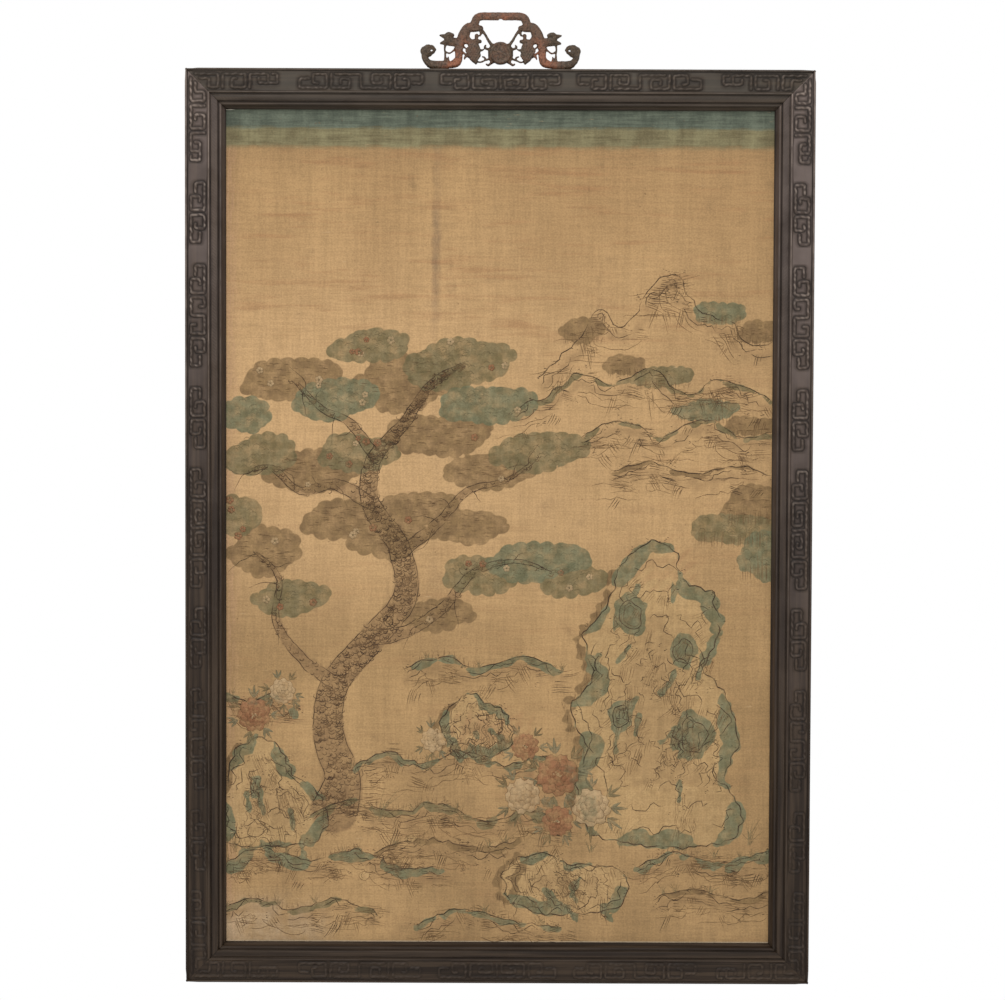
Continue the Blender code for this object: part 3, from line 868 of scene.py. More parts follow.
# Raised lines carved on the limbs: (x, z, width) in mm, and how far the line's middle
# lies in front of the hanger's middle, and behind it.
HANGER_LINES = {
    "cuff": (5.2, ((-73.4, 33.6, 2.0), (-69, 30.6, 2.2), (-64.6, 30.8, 2.2), (-59.4, 34.2, 2.0))),
    "cuff_upper": (5.4, ((-71.6, 40.4, 1.6), (-66.4, 37.6, 1.8), (-58.6, 41, 1.6))),
    "knee": (5.2, ((-60.6, 20, 1.8), (-66.6, 17.4, 1.8), (-71.6, 20.4, 1.8))),
    "mane_low": (5.2, ((-61.6, 46, 1.4), (-55.6, 50.6, 2.4), (-55, 57, 2.4), (-59.6, 60.4, 1.6),
                       (-62.2, 57, 1.4))),
    "mane_high": (5.4, ((-50, 58.8, 1.4), (-49, 64.6, 2.4), (-52.6, 69, 2.2), (-56.6, 67.6, 1.4))),
    "brow": (5.6, ((-46.4, 70.6, 1.4), (-41.6, 70.6, 2.4), (-37.4, 68.2, 1.4))),
    "eye": (6.0, ((-42.4, 66.8, 2.6), (-41.6, 66.8, 2.6))),
    "nostril": (5.4, ((-35, 67.2, 1.8), (-33.2, 66.2, 2.4), (-33.8, 64.4, 1.4))),
    "mouth": (5.2, ((-45.6, 62.4, 1.4), (-40, 62.2, 1.6), (-34.4, 61.4, 1.2))),
    "foot_pad": (5.4, ((-97, 13, 1.4), (-94.4, 9, 2.2), (-94.8, 3.6, 1.6))),
    "foot_toe": (5.4, ((-105.6, 12.6, 1.4), (-103, 8.6, 2.2), (-103.4, 3.4, 1.6))),
    "scroll_edge": (4.8, ((-111, 4.8, 1.4), (-118, 9.6, 2), (-123.4, 18, 2), (-124.2, 27, 2), (-121, 35, 2),
                          (-114, 38.4, 2), (-107.4, 34.8, 1.4))),
    "scroll_curl": (5.6, ((-107.6, 32.4, 1.4), (-111, 35.2, 2), (-116.2, 34, 2), (-118, 29.4, 2),
                          (-114.8, 25.2, 2), (-110.4, 26, 1.6))),
    "scroll_vein": (4.8, ((-110, 9.6, 1.2), (-115.2, 13.6, 1.8), (-117.6, 19.6, 1.8), (-117.4, 24, 1.2))),
    "wing_rib": (4.0, ((-70, 44.4, 1.4), (-77.6, 45.6, 2.2), (-84.4, 50, 1.8), (-91, 52.6, 1))),
    "wing_rib_low": (3.6, ((-72, 40.8, 1.2), (-80, 42.4, 1.8), (-90.6, 42.6, 1))),
    "wing_spiral": (4.8, ((-84.4, 48.4, 1.4), (-85.6, 52.4, 1.8), (-81.8, 54.8, 1.6), (-79.4, 53.2, 1))),
    "shoulder_rib": (3.8, ((-58, 46, 1.2), (-49.6, 45.2, 2), (-40.6, 45.8, 2), (-35, 45.2, 1.2))),
    "tail_edge": (4.0, ((-48, 39, 1.2), (-51.6, 30, 1.8), (-49.4, 20.4, 1.8), (-42.6, 13, 1.2))),
}
# Places on the hanger, (x, z above the frame, reach) in mm, and how red the wood is there.
HANGER_TINTS = (
    (0, 85, 22, 0.72), (-30, 84, 14, 0.62), (-46, 72, 14, 0.52), (-58, 60, 16, 0.5), (-63, 44, 12, 0.62),
    (-66, 24, 13, 0.95), (-76, 8, 12, 1.05), (-92, 7, 10, 0.5), (-108, 9, 10, 0.22), (-118, 26, 14, 0.02),
    (-84, 49, 14, 0.0), (-88, 28, 10, 0.1), (-36, 64, 9, 0.3), (-46, 45, 9, 0.55), (-43, 26, 13, 0.32),
    (-24, 50, 12, 0.1), (-22, 30, 9, 0.1), (0, 26, 16, 0.44),
)


def tube(stations: int, around: int) -> list[list[int]]:
    """Faces of a closed tube.

    Args:
        stations: number of rings of points.
        around: points in a ring.

    Returns:
        Point numbers of each face, those of both ends last.
    """
    at = np.arange(stations * around).reshape(stations, around)
    following = np.roll(at, -1, axis=1)
    quads = np.stack([at[:-1], following[:-1], following[1:], at[1:]], -1)
    return quads.reshape(-1, 4).tolist() + [at[0][::-1].tolist(), at[-1].tolist()]


@dataclass
class Hanger:
    """Pierced hanger: carved limbs and a disc, one piece of wood."""

    thickness: float = 12.0  # mm
    disc_radius: float = 17.8
    disc_height: float = 26.0  # centre above the frame
    disc_thickness: float = 13.0
    petals: int = 8
    eye: Triple = (-109.6, 30.2, 1.9)  # x, z, radius
    notch_radius: float = 4.4
    voxel: float = 0.84  # mm
    gap: float = 0.3  # mm above the rail
    sides: int = 14
    points: list = field(default_factory=list)
    faces: list = field(default_factory=list)
    total: int = 0

    def add(self, rings: Array, signs: Signs = (1, -1)) -> None:
        """Add a closed tube, as a rule with its mirror image.

        Args:
            rings: (stations, points round, 3) places in mm: x, y, z above the frame.
            signs: 1 for the tube itself and -1 for its mirror image.
        """
        for sign in signs:
            self.faces += [[i + self.total for i in face[::sign]] for face in tube(*rings.shape[:2])]
            self.points.append(rings.reshape(-1, 3) * (sign, 1, 1))
            self.total += len(self.points[-1])

    def limb(self, controls: Points, half_thickness: float, forward: float = 0.0, squareness: float = 2.7,
             signs: Signs = (1, -1)) -> None:
        """Add one limb of rounded section along a smooth path.

        Args:
            controls: (x, z, width) along the limb.
            half_thickness: half of its depth.
            forward: how far its middle lies in front of the hanger's.
            squareness: 2 gives an ellipse; more gives flatter faces.
            signs: which halves of the hanger it is on.
        """
        path, widths = smooth_path(controls, 1.6)
        side = sideways(path)
        turns = np.linspace(0, math.tau, self.sides, endpoint=False)
        power = 2 / squareness
        wide, deep = (np.sign(v) * np.abs(v) ** power for v in (np.cos(turns), np.sin(turns)))
        caps = np.radians((84, 62, 34))
        stations = ([(0, -math.sin(c), math.cos(c)) for c in caps]
                    + [(i, 0.0, 1.0) for i in range(len(path))]
                    + [(-1, math.sin(c), math.cos(c)) for c in caps[::-1]])
        rings = []
        for index, ahead, scale in stations:
            half = widths[index] / 2
            spots = path[index] + side[index] * half * (wide * scale - 1j * ahead)
            depth = deep * half_thickness * (0.45 + 0.55 * scale) - forward
            rings.append(np.column_stack([spots.real, depth, spots.imag]))
        self.add(np.array(rings), signs)

    def disc(self) -> None:
        """Add the disc: a lathe-turned round with a rosette of plain petals."""
        turns = np.linspace(0, math.tau, 64, endpoint=False)
        half = self.disc_thickness / 2
        profile = ((0.4, half - 1.1), (12.2, half - 1.3), (13.2, half - 0.2), (15.2, half),
                   (17.0, half - 0.7), (self.disc_radius, half - 2.2))
        outline = list(profile) + [(r, -y) for r, y in profile[::-1]]
        rings = [np.column_stack([r * np.cos(turns), np.full(64, y), r * np.sin(turns) + self.disc_height])
                 for r, y in outline]
        self.add(np.array(rings), (1,))
        for side in (1, -1):
            for petal in range(self.petals):
                turn = math.tau * (petal + 0.5) / self.petals
                controls = [(r * math.cos(turn), self.disc_height + r * math.sin(turn), w)
                            for r, w in ((3.6, 1.6), (7.4, 4.6), (10.6, 2.6))]
                self.limb(controls, 1.1, side * (half - 1.4), 2.0, (1,))
            self.limb(((-0.4, self.disc_height, 5.4), (0.4, self.disc_height, 5.4)), 1.7,
                      side * (half - 1.6), 2.0, (1,))

    def scales(self) -> None:
        """Add rows of small rounded scales on the tail."""
        for row in range(7):
            for column in range(6):
                x = -54.6 + 4.4 * (column + 0.5 * (row % 2))
                z = 15.4 + 3.5 * row
                if abs(x + 43.0 + (z - 26) * 0.12) < 11.6 - 0.03 * (z - 27) ** 2:
                    for forward in (4.1, -4.1):
                        self.limb(((x, z - 0.8, 2.2), (x, z + 0.8, 3.4)), 1.3, forward, 2.0)

    def hole(self, x: float, z: float, radius: float) -> Piece:
        """Make a round bar along Y, to cut a hole with.

        Args:
            x: its middle, in mm.
            z: its middle, in mm.
            radius: its radius, in mm.

        Returns:
            The bar.
        """
        turns = np.linspace(0, math.tau, 24, endpoint=False)
        rings = [np.column_stack([x + radius * np.cos(turns), np.full(24, y), z + radius * np.sin(turns)])
                 for y in (20.0, -20.0)]
        return mesh_object("hole", np.vstack(rings) * MM, tube(2, 24))

    def build(self) -> Piece:
        """Carve the hanger as one closed body.

        Returns:
            The hanger.
        """
        for share, controls in HANGER_LIMBS.values():
            self.limb(controls, share * self.thickness / 2)
        for forward, controls in HANGER_LINES.values():
            for front in (forward, -forward):
                self.limb(controls, 1.0, front, 2.0)
        self.disc()
        self.scales()
        foot_z = (CENTRE_Z + FRAME_SIZE[2] / 2) / MM + self.gap
        places = (np.vstack(self.points) + (0, 0, foot_z)) * MM
        rough = mesh_object("hanger_rough", places, self.faces)
        melt = rough.modifiers.new("one_body", "REMESH")
        melt.mode, melt.voxel_size = "VOXEL", self.voxel * MM
        soften = rough.modifiers.new("soften", "SMOOTH")
        soften.factor, soften.iterations = 0.5, 2
        holes = [self.hole(0.0, -self.notch_radius, self.notch_radius)]
        holes += [self.hole(sign * self.eye[0], foot_z + self.eye[1], self.eye[2]) for sign in (1, -1)]
        for index, cutter in enumerate(holes):
            cut = rough.modifiers.new(f"hole_{index}", "BOOLEAN")
            cut.operation, cut.solver, cut.object = "DIFFERENCE", "EXACT", cutter
        graph = bpy.context.evaluated_depsgraph_get()
        mesh = bpy.data.meshes.new_from_object(rough.evaluated_get(graph))
        for old in (rough, *holes):
            bpy.data.objects.remove(old, do_unlink=True)
        hanger = show("hanger_carved", mesh)
        self.wear(mesh, foot_z)
        dress(hanger, RedHardwood().material())
        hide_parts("hanger")
        return hanger

    def wear(self, mesh: bpy.types.Mesh, foot_z: float) -> None:
        """Roughen the surface a little and note where it is red, and where its side faces get painted
        shade.

        Args:
            mesh: the hanger's mesh.
            foot_z: height of the hanger's foot, in mm.
        """
        places, normals = (read(mesh.vertices, key, 3) for key in ("co", "normal"))
        front = (places[:, 0] + 1j * places[:, 2]) / MM
        push = 0.1 * waves(front, 21, 9.0) + 0.06 * waves(front, 22, 4.0)
        places += normals * push[:, None] * MM
        mesh.vertices.foreach_set("co", places.ravel())
        mesh.polygons.foreach_set("use_smooth", np.ones(len(mesh.polygons), bool))
        red, weights = 0.0, 1e-6
        for x, z, reach, share in HANGER_TINTS:
            away = abs(abs(front.real) + x + 1j * (front.imag - foot_z - z))
            weight = np.exp(-(away / reach) ** 2)
            red, weights = red + weight * share, weights + weight
        # painted shade: faces turned sideways, into the piercings and along the edges, are darkened
        note(mesh, {"red": red / weights, "grime": 0.5 * np.clip(0.55 - np.abs(normals[:, 1]), 0, 1)})
        mesh.update()


# ---- silk
class Wash(Enum):
    """Soft areas of thin colour, each kept on the cloth's points."""

    TEAL = "teal"
    OLIVE = "olive"
    BROWN = "brown"
    RUST = "rust"
    CREAM = "cream"
    SHADE = "shade"


@dataclass(frozen=True)
class PaintedSilk:
    """Silk woven as a picture and brushed with thin colours, now aged to tan.

    Uneven threads show as fine upright and level streaks, age as blotches, a dark
    upright fold, specks and a rubbed left edge; the middle and left are painted paler,
    as painted light.  It has no gloss but a faint sheen.
    """

    deep: str = "92754f"
    tan: str = "a5855b"
    pale: str = "b49268"
    rosy: str = "9b7b54"
    dust: str = "775f42"
    stain: str = "6f5b48"
    reddish: str = "885f40"
    rubbed: str = "a27f62"
    frayed: str = "c9c2b2"
    damp: str = "b8a286"
    speck: str = "644a30"
    chalk: str = "bd9f78"
    thread_mm: float = 2.3  # threads lie 0.25 mm apart; drawn coarser to show
    band_top: tuple[str, str] = ("434a40", "5a6154")
    band_low: tuple[str, str] = ("5c563e", "757053")
    tones: tuple = (  # wash, dark, light, strength, where its edge lies
        (Wash.CREAM, "a0855b", "b39669", 0.45, 0.2, 0.7),
        (Wash.SHADE, "70573c", "856948", 0.8, 0.15, 0.85),
        (Wash.RUST, "7d573b", "946b4b", 0.7, 0.15, 0.85),
        (Wash.BROWN, "665035", "78603f", 0.88, 0.38, 0.58),
        (Wash.OLIVE, "5e5437", "706548", 0.9, 0.4, 0.56),
        (Wash.TEAL, "5a583f", "6c6b51", 0.92, 0.4, 0.56))
    fold_x: float = -0.101  # m, an upright dark fold
    weave: tuple = (0.34, 0.66, 0.8, 1.14)  # threads darken and lighten all colours

    def cloth(self, shade: Shade) -> tuple[Socket, Socket]:
        """Colour of the bare cloth with its bands and washes.

        Args:
            shade: the material that it is added to.

        Returns:
            The colour, and the threads' pattern, about 0.5 on average.
        """
        add, thread = shade.add, self.thread_mm
        x = add("SeparateXYZ", shade.place, out="X")
        z = add(MINUS, add("SeparateXYZ", shade.place, out="Z"), CENTRE_Z)
        blotch = shade.grains((150, 150, 210), 4.0)
        mottle = shade.grains((30, 30, 40), 3.0, seed=3.0)
        broad = shade.grains((15, 9, 520), 2.0, seed=6.0)
        upright = shade.grains((thread * 1.4, 9, 42), 3.0, seed=5.0)
        level = shade.grains((50, 9, thread * 1.2), 3.0, seed=8.0)
        knots = shade.grains((thread * 1.3, 9, thread), 2.0, seed=2.0)
        threads = add(PLUS, add(TIMES, upright, 0.21), add(TIMES, level, 0.24))
        threads = add(TIMES_PLUS, knots, 0.42, threads)
        threads = add(TIMES_PLUS, broad, 0.13, threads)

        wander = add(TIMES_PLUS, shade.grains((50, 9, 38), 3.0, seed=18.0), 0.018, x)
        fold = add("Math ABSOLUTE", add(MINUS, wander, self.fold_x + 0.009))
        marks = shade.grains((120, 9, 13), 4.0, seed=41.0)
        colour = shade.over(self.deep, self.tan, (blotch, 0.34, 0.66))
        for tone, *amounts in (
                # painted light: a paler pool over the middle and the left of the cloth
                (self.pale, (z, -0.24, 0.05), (z, 0.62, 0.25), (x, 0.42, -0.25, 0.45, 1.0),
                 (mottle, 0.2, 0.75, 0.6, 1.0)),
                (self.rosy, (z, 0.3, 0.52), (blotch, 0.3, 0.7, 0.8, 0.3)),
                (self.dust, (z, -0.22, -0.62), (mottle, 0.25, 0.7, 0.0, 0.22)),
                (self.dust, (z, 0.555, 0.62, 0.0, 0.34)),
                (self.dust, (mottle, 0.54, 0.8, 0.0, 0.34)),
                # the fold: broken, darkest high up, fading downwards
                (self.stain, (fold, 0.011, 0.001), (z, 0.29, 0.4, 0.08, 0.62),
                 (z, 0.49, 0.53, 1.0, 0.45), (mottle, 0.3, 0.62, 0.35, 1.0)),
                # level reddish stains over the sky, and the rubbed left edge
                (self.reddish, (marks, 0.5, 0.74, 0.0, 0.42), (z, 0.22, 0.36, 0.3, 1.0)),
                (self.rubbed, (x, -0.408, -0.436), (upright, 0.35, 0.65, 0.1, 0.6))):
            colour = shade.over(colour, tone, *amounts)
        edge = add(TIMES_PLUS, mottle, 0.008, add(TIMES_PLUS, level, 0.01, z))
        streaky = add(TIMES_PLUS, level, 0.3, add(TIMES, mottle, 0.6))
        streaky = add(TIMES_PLUS, broad, 0.1, streaky)
        for tones, *amount in ((self.band_low, edge, 0.61, 0.622, 0.0, 0.92),
                               (self.band_top, edge, 0.643, 0.65, 0.0, 0.95)):
            band = shade.over(*tones, (streaky, 0.37, 0.63))
            colour = shade.over(colour, band, tuple(amount))
        # frayed at the top left and along the foot; a pale bloom of damp at the low left
        for tone, *amounts in ((self.frayed, (x, -0.42, -0.43), (z, 0.6645, 0.6655)),
                               (self.frayed, (z, -0.6638, -0.6652, 0.0, 0.35)),
                               (self.damp, (z, -0.57, -0.64), (x, -0.22, -0.38),
                                (mottle, 0.3, 0.7, 0.1, 0.5))):
            colour = shade.over(colour, tone, *amounts)
        spots = shade.grains(13, 4.0, seed=31.0)
        tired = add(STEP, shade.grains(17, 3.0, seed=12.0), 0.25, 0.62)
        for wash, dark, light, strength, low, high in self.tones:
            woven = add(TIMES_PLUS, threads, 0.5, -0.25)
            amount = add(PLUS, woven, add("Attribute " + wash.value, out="Fac"))
            tone = shade.over(dark, light, (spots, 0.32, 0.68))
            colour = shade.over(colour, tone, (amount, low, high),
                                add(TIMES_PLUS, tired, 0.38 * strength, 0.62 * strength))
        specks = shade.grains(5.2, 2.0, seed=15.0)
        chalk = shade.grains((26, 9, 4.0), 3.0, seed=25.0)
        colour = shade.over(colour, self.speck, (specks, 0.68, 0.77, 0.0, 0.5))
        colour = shade.over(colour, self.chalk, (chalk, 0.68, 0.8, 0.0, 0.4))
        return colour, threads

    def material(self) -> Finish:
        """Build the cloth's finish.

        Returns:
            The material.
        """
        shade = Shade("aged woven silk")
        colour, threads = self.cloth(shade)
        woven = shade.add("MixRGB MULTIPLY", 1.0, colour, shade.add(STEP, threads, *self.weave))
        return shade.finish(threads, 0.14, Base_Color=woven, Roughness=0.82, Specular_IOR_Level=0.2,
                            Sheen_Weight=0.06, Sheen_Roughness=0.5)


@dataclass
class SilkPanel:
    """One thin sheet of silk; its edges run into the rails' groove."""

    width: float = 0.884
    height: float = 1.344
    thickness: float = 0.0016
    uneven: float = 0.0011
    middle_y: float = BACK_Y - 0.0131
    step: float = 4.4  # mm between the mesh's points
    coarse: int = 4  # the back uses one point in so many
    crease: float = 0.35  # mm, how far the fold stands proud
    fold_x: float = -98.0

    def __post_init__(self) -> None:
        """Lay out the mesh's points and the empty washes."""
        cell = self.step * self.coarse * MM
        counts = [self.coarse * round(side / cell) + 1 for side in (self.width, self.height)]
        self.xs = np.linspace(-0.5, 0.5, counts[0]) * self.width
        self.zs = np.linspace(-0.5, 0.5, counts[1]) * self.height
        self.grid = (self.xs + 1j * self.zs[:, None]) / MM
        self.washes = {wash: np.zeros(self.grid.shape[:2]) for wash in Wash}
        across = self.grid.real * MM * 2 / self.width
        up = self.grid.imag * MM * 2 / self.height
        hold = (1 - across ** 6) * (1 - up ** 6)
        ripple = 0.55 * np.sin(7.3 * across + 0.9 * up) * np.cos(1.7 * up - 0.4)
        sag = 0.45 * np.sin(3.1 * up + 1.2) * np.cos(2.2 * across)
        fold = np.exp(-((self.grid.real - self.fold_x) / 5.0) ** 2) * self.crease * MM
        pucker = 0.00012 * waves(self.grid, 31, 70.0)
        self.swell = hold * (self.uneven * (ripple + sag) + fold + pucker)

    def sample(self, values: Array, places: Array) -> Array:
        """Read a grid of values between its points.

        Args:
            values: a number for each point of the mesh.
            places: where it is read.

        Returns:
            The value at each place.
        """
        rows, columns = values.shape
        u, v = (np.clip((place * MM / side + 0.5) * (count - 1), 0, count - 1.001)
                for place, side, count in ((places.real, self.width, columns),
                                           (places.imag, self.height, rows)))
        i, j = v.astype(int), u.astype(int)
        s, t = u - j, v - i
        return ((values[i, j] * (1 - s) + values[i, j + 1] * s) * (1 - t)
                + (values[i + 1, j] * (1 - s) + values[i + 1, j + 1] * s) * t)

    def front(self, places: Array) -> Array:
        """World Y of the cloth's front at some places."""
        return self.middle_y - self.sample(self.swell, places) - self.thickness / 2

    def build(self) -> Piece:
        """Build the closed sheet, with its washes on its points.

        Returns:
            The sheet, dressed.
        """
        rows, columns = self.swell.shape
        at = np.arange(rows * columns).reshape(rows, columns)
        front = np.stack([at[:-1, :-1], at[:-1, 1:], at[1:, 1:], at[1:, :-1]], -1).reshape(-1, 4)
        rim = np.concatenate([at[0, :-1], at[:-1, -1], at[-1, :0:-1], at[:0:-1, 0]])
        used = np.zeros((rows, columns), bool)
        used[::self.coarse, ::self.coarse] = True
        used.flat[rim] = True
        kept = np.flatnonzero(used)
        under = np.full(rows * columns, -1)
        under[kept] = rows * columns + np.arange(len(kept))
        faces = front.tolist()
        faces += np.stack([rim, under[rim], under[np.roll(rim, -1)], np.roll(rim, -1)], -1).tolist()
        for i in range(0, rows - 1, self.coarse):
            for j in range(0, columns - 1, self.coarse):
                k, m = i + self.coarse, j + self.coarse
                ring = [*at[i, j:m], *at[i:k, m], *at[k, m:j:-1], *at[k:i:-1, j]]
                faces.append([n for n in under[ring][::-1].tolist() if n >= 0])
        x, z = self.grid.real.ravel() * MM, self.grid.imag.ravel() * MM + CENTRE_Z
        y = self.middle_y - self.swell.ravel()
        half = self.thickness / 2
        points = np.vstack([np.column_stack([x, y - half, z]), np.column_stack([x, y + half, z])[kept]])
        attributes = {wash.value: np.concatenate([v.ravel(), v.ravel()[kept] * 0.45])
                      for wash, v in self.washes.items()}
        silk = mesh_object("silk_sheet", points, faces, attributes)
        self.map(silk)
        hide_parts("silk_panel")
        return dress(silk, PaintedSilk().material())

    def map(self, piece: Piece) -> None:
        """Give a piece a map that shows it straight from the front.

        Args:
            piece: the silk or paint on it.
        """
        mesh = piece.data
        spots = read(mesh.vertices, "co", 3)[read(mesh.loops, "vertex_index", 1, np.int32)]
        u = spots[:, 0] / self.width + 0.5
        v = (spots[:, 2] - CENTRE_Z) / self.height + 0.5
        if piece.name.startswith("silk"):
            # the front takes the left two thirds of the map, the back the rest
            back = np.repeat(read(mesh.polygons, "normal", 3)[:, 1] > 0.5,
                             read(mesh.polygons, "loop_total", 1, np.int32))
            u = np.where(back, 0.69 + 0.305 * u, 0.005 + 0.66 * u)
        layer = mesh.uv_layers.new(name=BAKE_MAP)
        places = np.column_stack([u, v * 0.99 + 0.005]).astype(np.float32)
        layer.uv.foreach_set("vector", places.ravel())


# ---- paint
class Pigment(Enum):
    """Paints that lie on the cloth as lines and small crisp areas."""

    INK = "ink"
    SEPIA = "sepia"
    TEAL = "teal_paint"
    OLIVE = "olive_paint"
    BROWN = "brown_paint"
    RUST = "rust_paint"
    CREAM = "shell_white"


@dataclass(frozen=True)
class ThinPaint:
    """Mineral or ink paint brushed thinly on silk, now rubbed.

    The threads show through it, and rubbed spots let the cloth's tan come up.
    """

    dark: str
    light: str
    wear: float  # share of the cloth that shows through
    silk: PaintedSilk = PaintedSilk()

    def material(self, pigment: Pigment) -> Finish:
        """Build the finish for one pigment.

        Args:
            pigment: the pigment.

        Returns:
            The material.
        """
        shade = Shade("brushed " + pigment.value.replace("_", " "))
        add = shade.add
        cloth, threads = self.silk.cloth(shade)
        rubbed = shade.grains(11, 4.0, seed=21.0)
        paint = add(MIX, add("Attribute tone", out="Fac"), self.dark, self.light)
        rubbed = add(TIMES_PLUS, threads, 0.5, rubbed)
        bare = add(STEP, rubbed, 0.62, 0.95, self.wear * 0.6, min(1.0, self.wear + 0.45))
        colour = add(MIX, bare, paint, cloth)
        woven = add("MixRGB MULTIPLY", 1.0, colour, add(STEP, threads, *self.silk.weave))
        return shade.finish(threads, 0.06, Base_Color=woven, Roughness=0.8, Specular_IOR_Level=0.2)


PAINTS = {
    Pigment.INK: ThinPaint("241911", "402d20", 0.1),
    Pigment.SEPIA: ThinPaint("49341f", "674e33", 0.16),
    Pigment.TEAL: ThinPaint("5a543c", "716c54", 0.16),
    Pigment.OLIVE: ThinPaint("5a4e34", "72674a", 0.2),
    Pigment.BROWN: ThinPaint("634d33", "7a6143", 0.22),
    Pigment.RUST: ThinPaint("70432b", "8b6043", 0.24),
    Pigment.CREAM: ThinPaint("9b8260", "ad926e", 0.2),
}


class Brush:
    """Lays lines, areas and washes on the silk."""

    edge: Pair = (437.5, 667.5)  # mm; paint stops where the rails hide the cloth

    def __init__(self, panel: SilkPanel) -> None:
        """Start with clean silk.

        Args:
            panel: the silk.
        """
        self.panel = panel
        self.marks = {pigment: [] for pigment in Pigment}
        self.draw = np.random.default_rng(1)

    def seed(self, number: int) -> np.random.Generator:
        """Start a motif's own random draws."""
        self.draw = np.random.default_rng(number)
        return self.draw

    def line(self, pigment: Pigment, controls: Points, width: float, ends: Pair = (0.25, 0.35),
             lift: float = 0.12, wobble: float = 0.35, spacing: float = 5.0,
             tone: float | None = None) -> None:
        """Brush one line, thin at its ends.

        Args:
            pigment: its paint.
            controls: complex places, or rows of x, z and width share.
            width: greatest width in mm.
            ends: shares of its length over which it thins out.
            lift: how far it stands in front of the cloth, in mm.
            wobble: unevenness of the hand, in mm.
            spacing: distance between its points, in mm.
            tone: from 0, dark, to 1, light; random if None.
        """
        path, shares = smooth_path(controls, spacing)
        if len(path) < 3:
            path, shares = smooth_path(controls, spacing / 3)
        within = (abs(path.real) < self.edge[0]) & (abs(path.imag) < self.edge[1])
        first = int(np.argmax(within))
        beyond = np.flatnonzero(~within[first:])
        used = slice(first, first + beyond[0] if len(beyond) else None)
        path, shares = path[used], shares[used]
        count = len(path)
        if count < 3:
            return
        t = np.linspace(0, 1, count)
        taper = np.minimum(1, t / ends[0] + 0.12) * np.minimum(1, (1 - t) / ends[1] + 0.12)
        side = sideways(path)
        half = side * width / 2 * taper ** 0.8 * shares
        path = path + side * wobble * waves(path, int(self.draw.integers(1 << 30)), 26.0, 3)
        at = np.arange(count)
        left, ridge, right = at, at + count, at + 2 * count
        quads = [np.stack([a[:-1], a[1:], b[1:], b[:-1]], -1)
                 for a, b in ((right, ridge), (ridge, left), (left, right))]
        tips = [[left[0], ridge[0], right[0]], [right[-1], ridge[-1], left[-1]]]
        self.keep(pigment, np.concatenate([path + half, path, path - half]),
                  np.repeat([-0.06, lift, -0.06], count), np.vstack(quads).tolist() + tips, tone)

    def area(self, pigment: Pigment, outline: Points, lift: float = 0.05,
             tone: float | None = None) -> None:
        """Fill a small area crisply.

        Args:
            pigment: its paint.
            outline: its corners, in order.
            lift: how far it stands in front of the cloth, in mm.
            tone: from 0, dark, to 1, light; random if None.
        """
        ring = flat(outline)
        ring = (np.clip(ring.real, -self.edge[0], self.edge[0])
                + 1j * np.clip(ring.imag, -self.edge[1], self.edge[1]))
        if np.sum((ring.conj() * np.roll(ring, -1)).imag) < 0:
            ring = ring[::-1]
        count = len(ring)
        top = [list(face) for face in tessellate_polygon([[Vector((p.real, p.imag, 0.0)) for p in ring]])]
        back = [[i + count for i in face[::-1]] for face in top]
        at = np.arange(count)
        after = np.roll(at, -1)
        skirt = np.stack([at, at + count, after + count, after], -1).tolist()
        self.keep(pigment, np.concatenate([ring, ring]), np.repeat([lift, -0.08], count),
                  top + back + skirt, tone)

    def keep(self, pigment: Pigment, places: Array, height: Array, faces: list, tone: float | None) -> None:
        """Store one mark: its points, their heights above the cloth in mm, its faces and tone."""
        tone = float(self.draw.random()) if tone is None else tone
        self.marks[pigment].append((places, height, faces, tone))

    def edged(self, pigment: Pigment, outline: Array, lift: float, tone: float | None = None,
              grow: float = 1.08) -> None:
        """Fill an area over a slightly larger one of sepia, which edges it.

        Args:
            pigment: the paint on top.
            outline: its corners, in order.
            lift: how far the edging stands in front of the cloth, in mm.
            tone: tone of the paint on top.
            grow: size of the edging, as a share of the area's.
        """
        middle = outline.mean()
        self.area(Pigment.SEPIA, middle + (outline - middle) * grow, lift, 0.7)
        self.area(pigment, outline, lift + 0.02, tone)

    def stain(self, wash: Wash, outline: Array, amount: float, soft: float, uneven: float,
              shares: Array | float | None = None) -> None:
        """Lay a soft wash inside an outline, or along a path.

        Args:
            wash: its colour.
            outline: corners of the outline, or places along the path.
            amount: strength, up to 1.
            soft: width of its soft border, in mm.
            uneven: unevenness of the border, in mm.
            shares: half the wash's width at each place of a path, in mm; none if the
                places are an outline.
        """
        seed = int(self.draw.integers(1 << 30))
        grow = soft + uneven + (0 if shares is None else float(np.max(shares)))
        spans = [np.searchsorted(axis / MM, (part.min() - grow, part.max() + grow))
                 for axis, part in ((self.panel.zs, outline.imag), (self.panel.xs, outline.real))]
        part = tuple(slice(*span) for span in spans)
        places = self.panel.grid[part]
        if not places.size:
            return
        away = np.full(places.shape, 1e3)
        if shares is None:
            within = np.zeros(places.shape, bool)
            for start, end in zip(outline, np.roll(outline, -1)):
                away = np.minimum(away, span_distance(places, start, end))
                level = (places.imag - start.imag) / ((end - start).imag or 1e-9)
                within ^= ((level >= 0) & (level < 1)
                           & (places.real < start.real + level * (end - start).real))
            away = np.where(within, -away, away)
        else:
            shares = np.broadcast_to(shares, outline.shape)
            for start, end, share in zip(outline, outline[1:], shares):
                away = np.minimum(away, span_distance(places, start, end) - share)
        away += uneven * waves(places, seed, 26.0)
        target = self.panel.washes[wash][part]
        np.maximum(target, amount * np.clip(0.5 - away / soft, 0, 1), out=target)

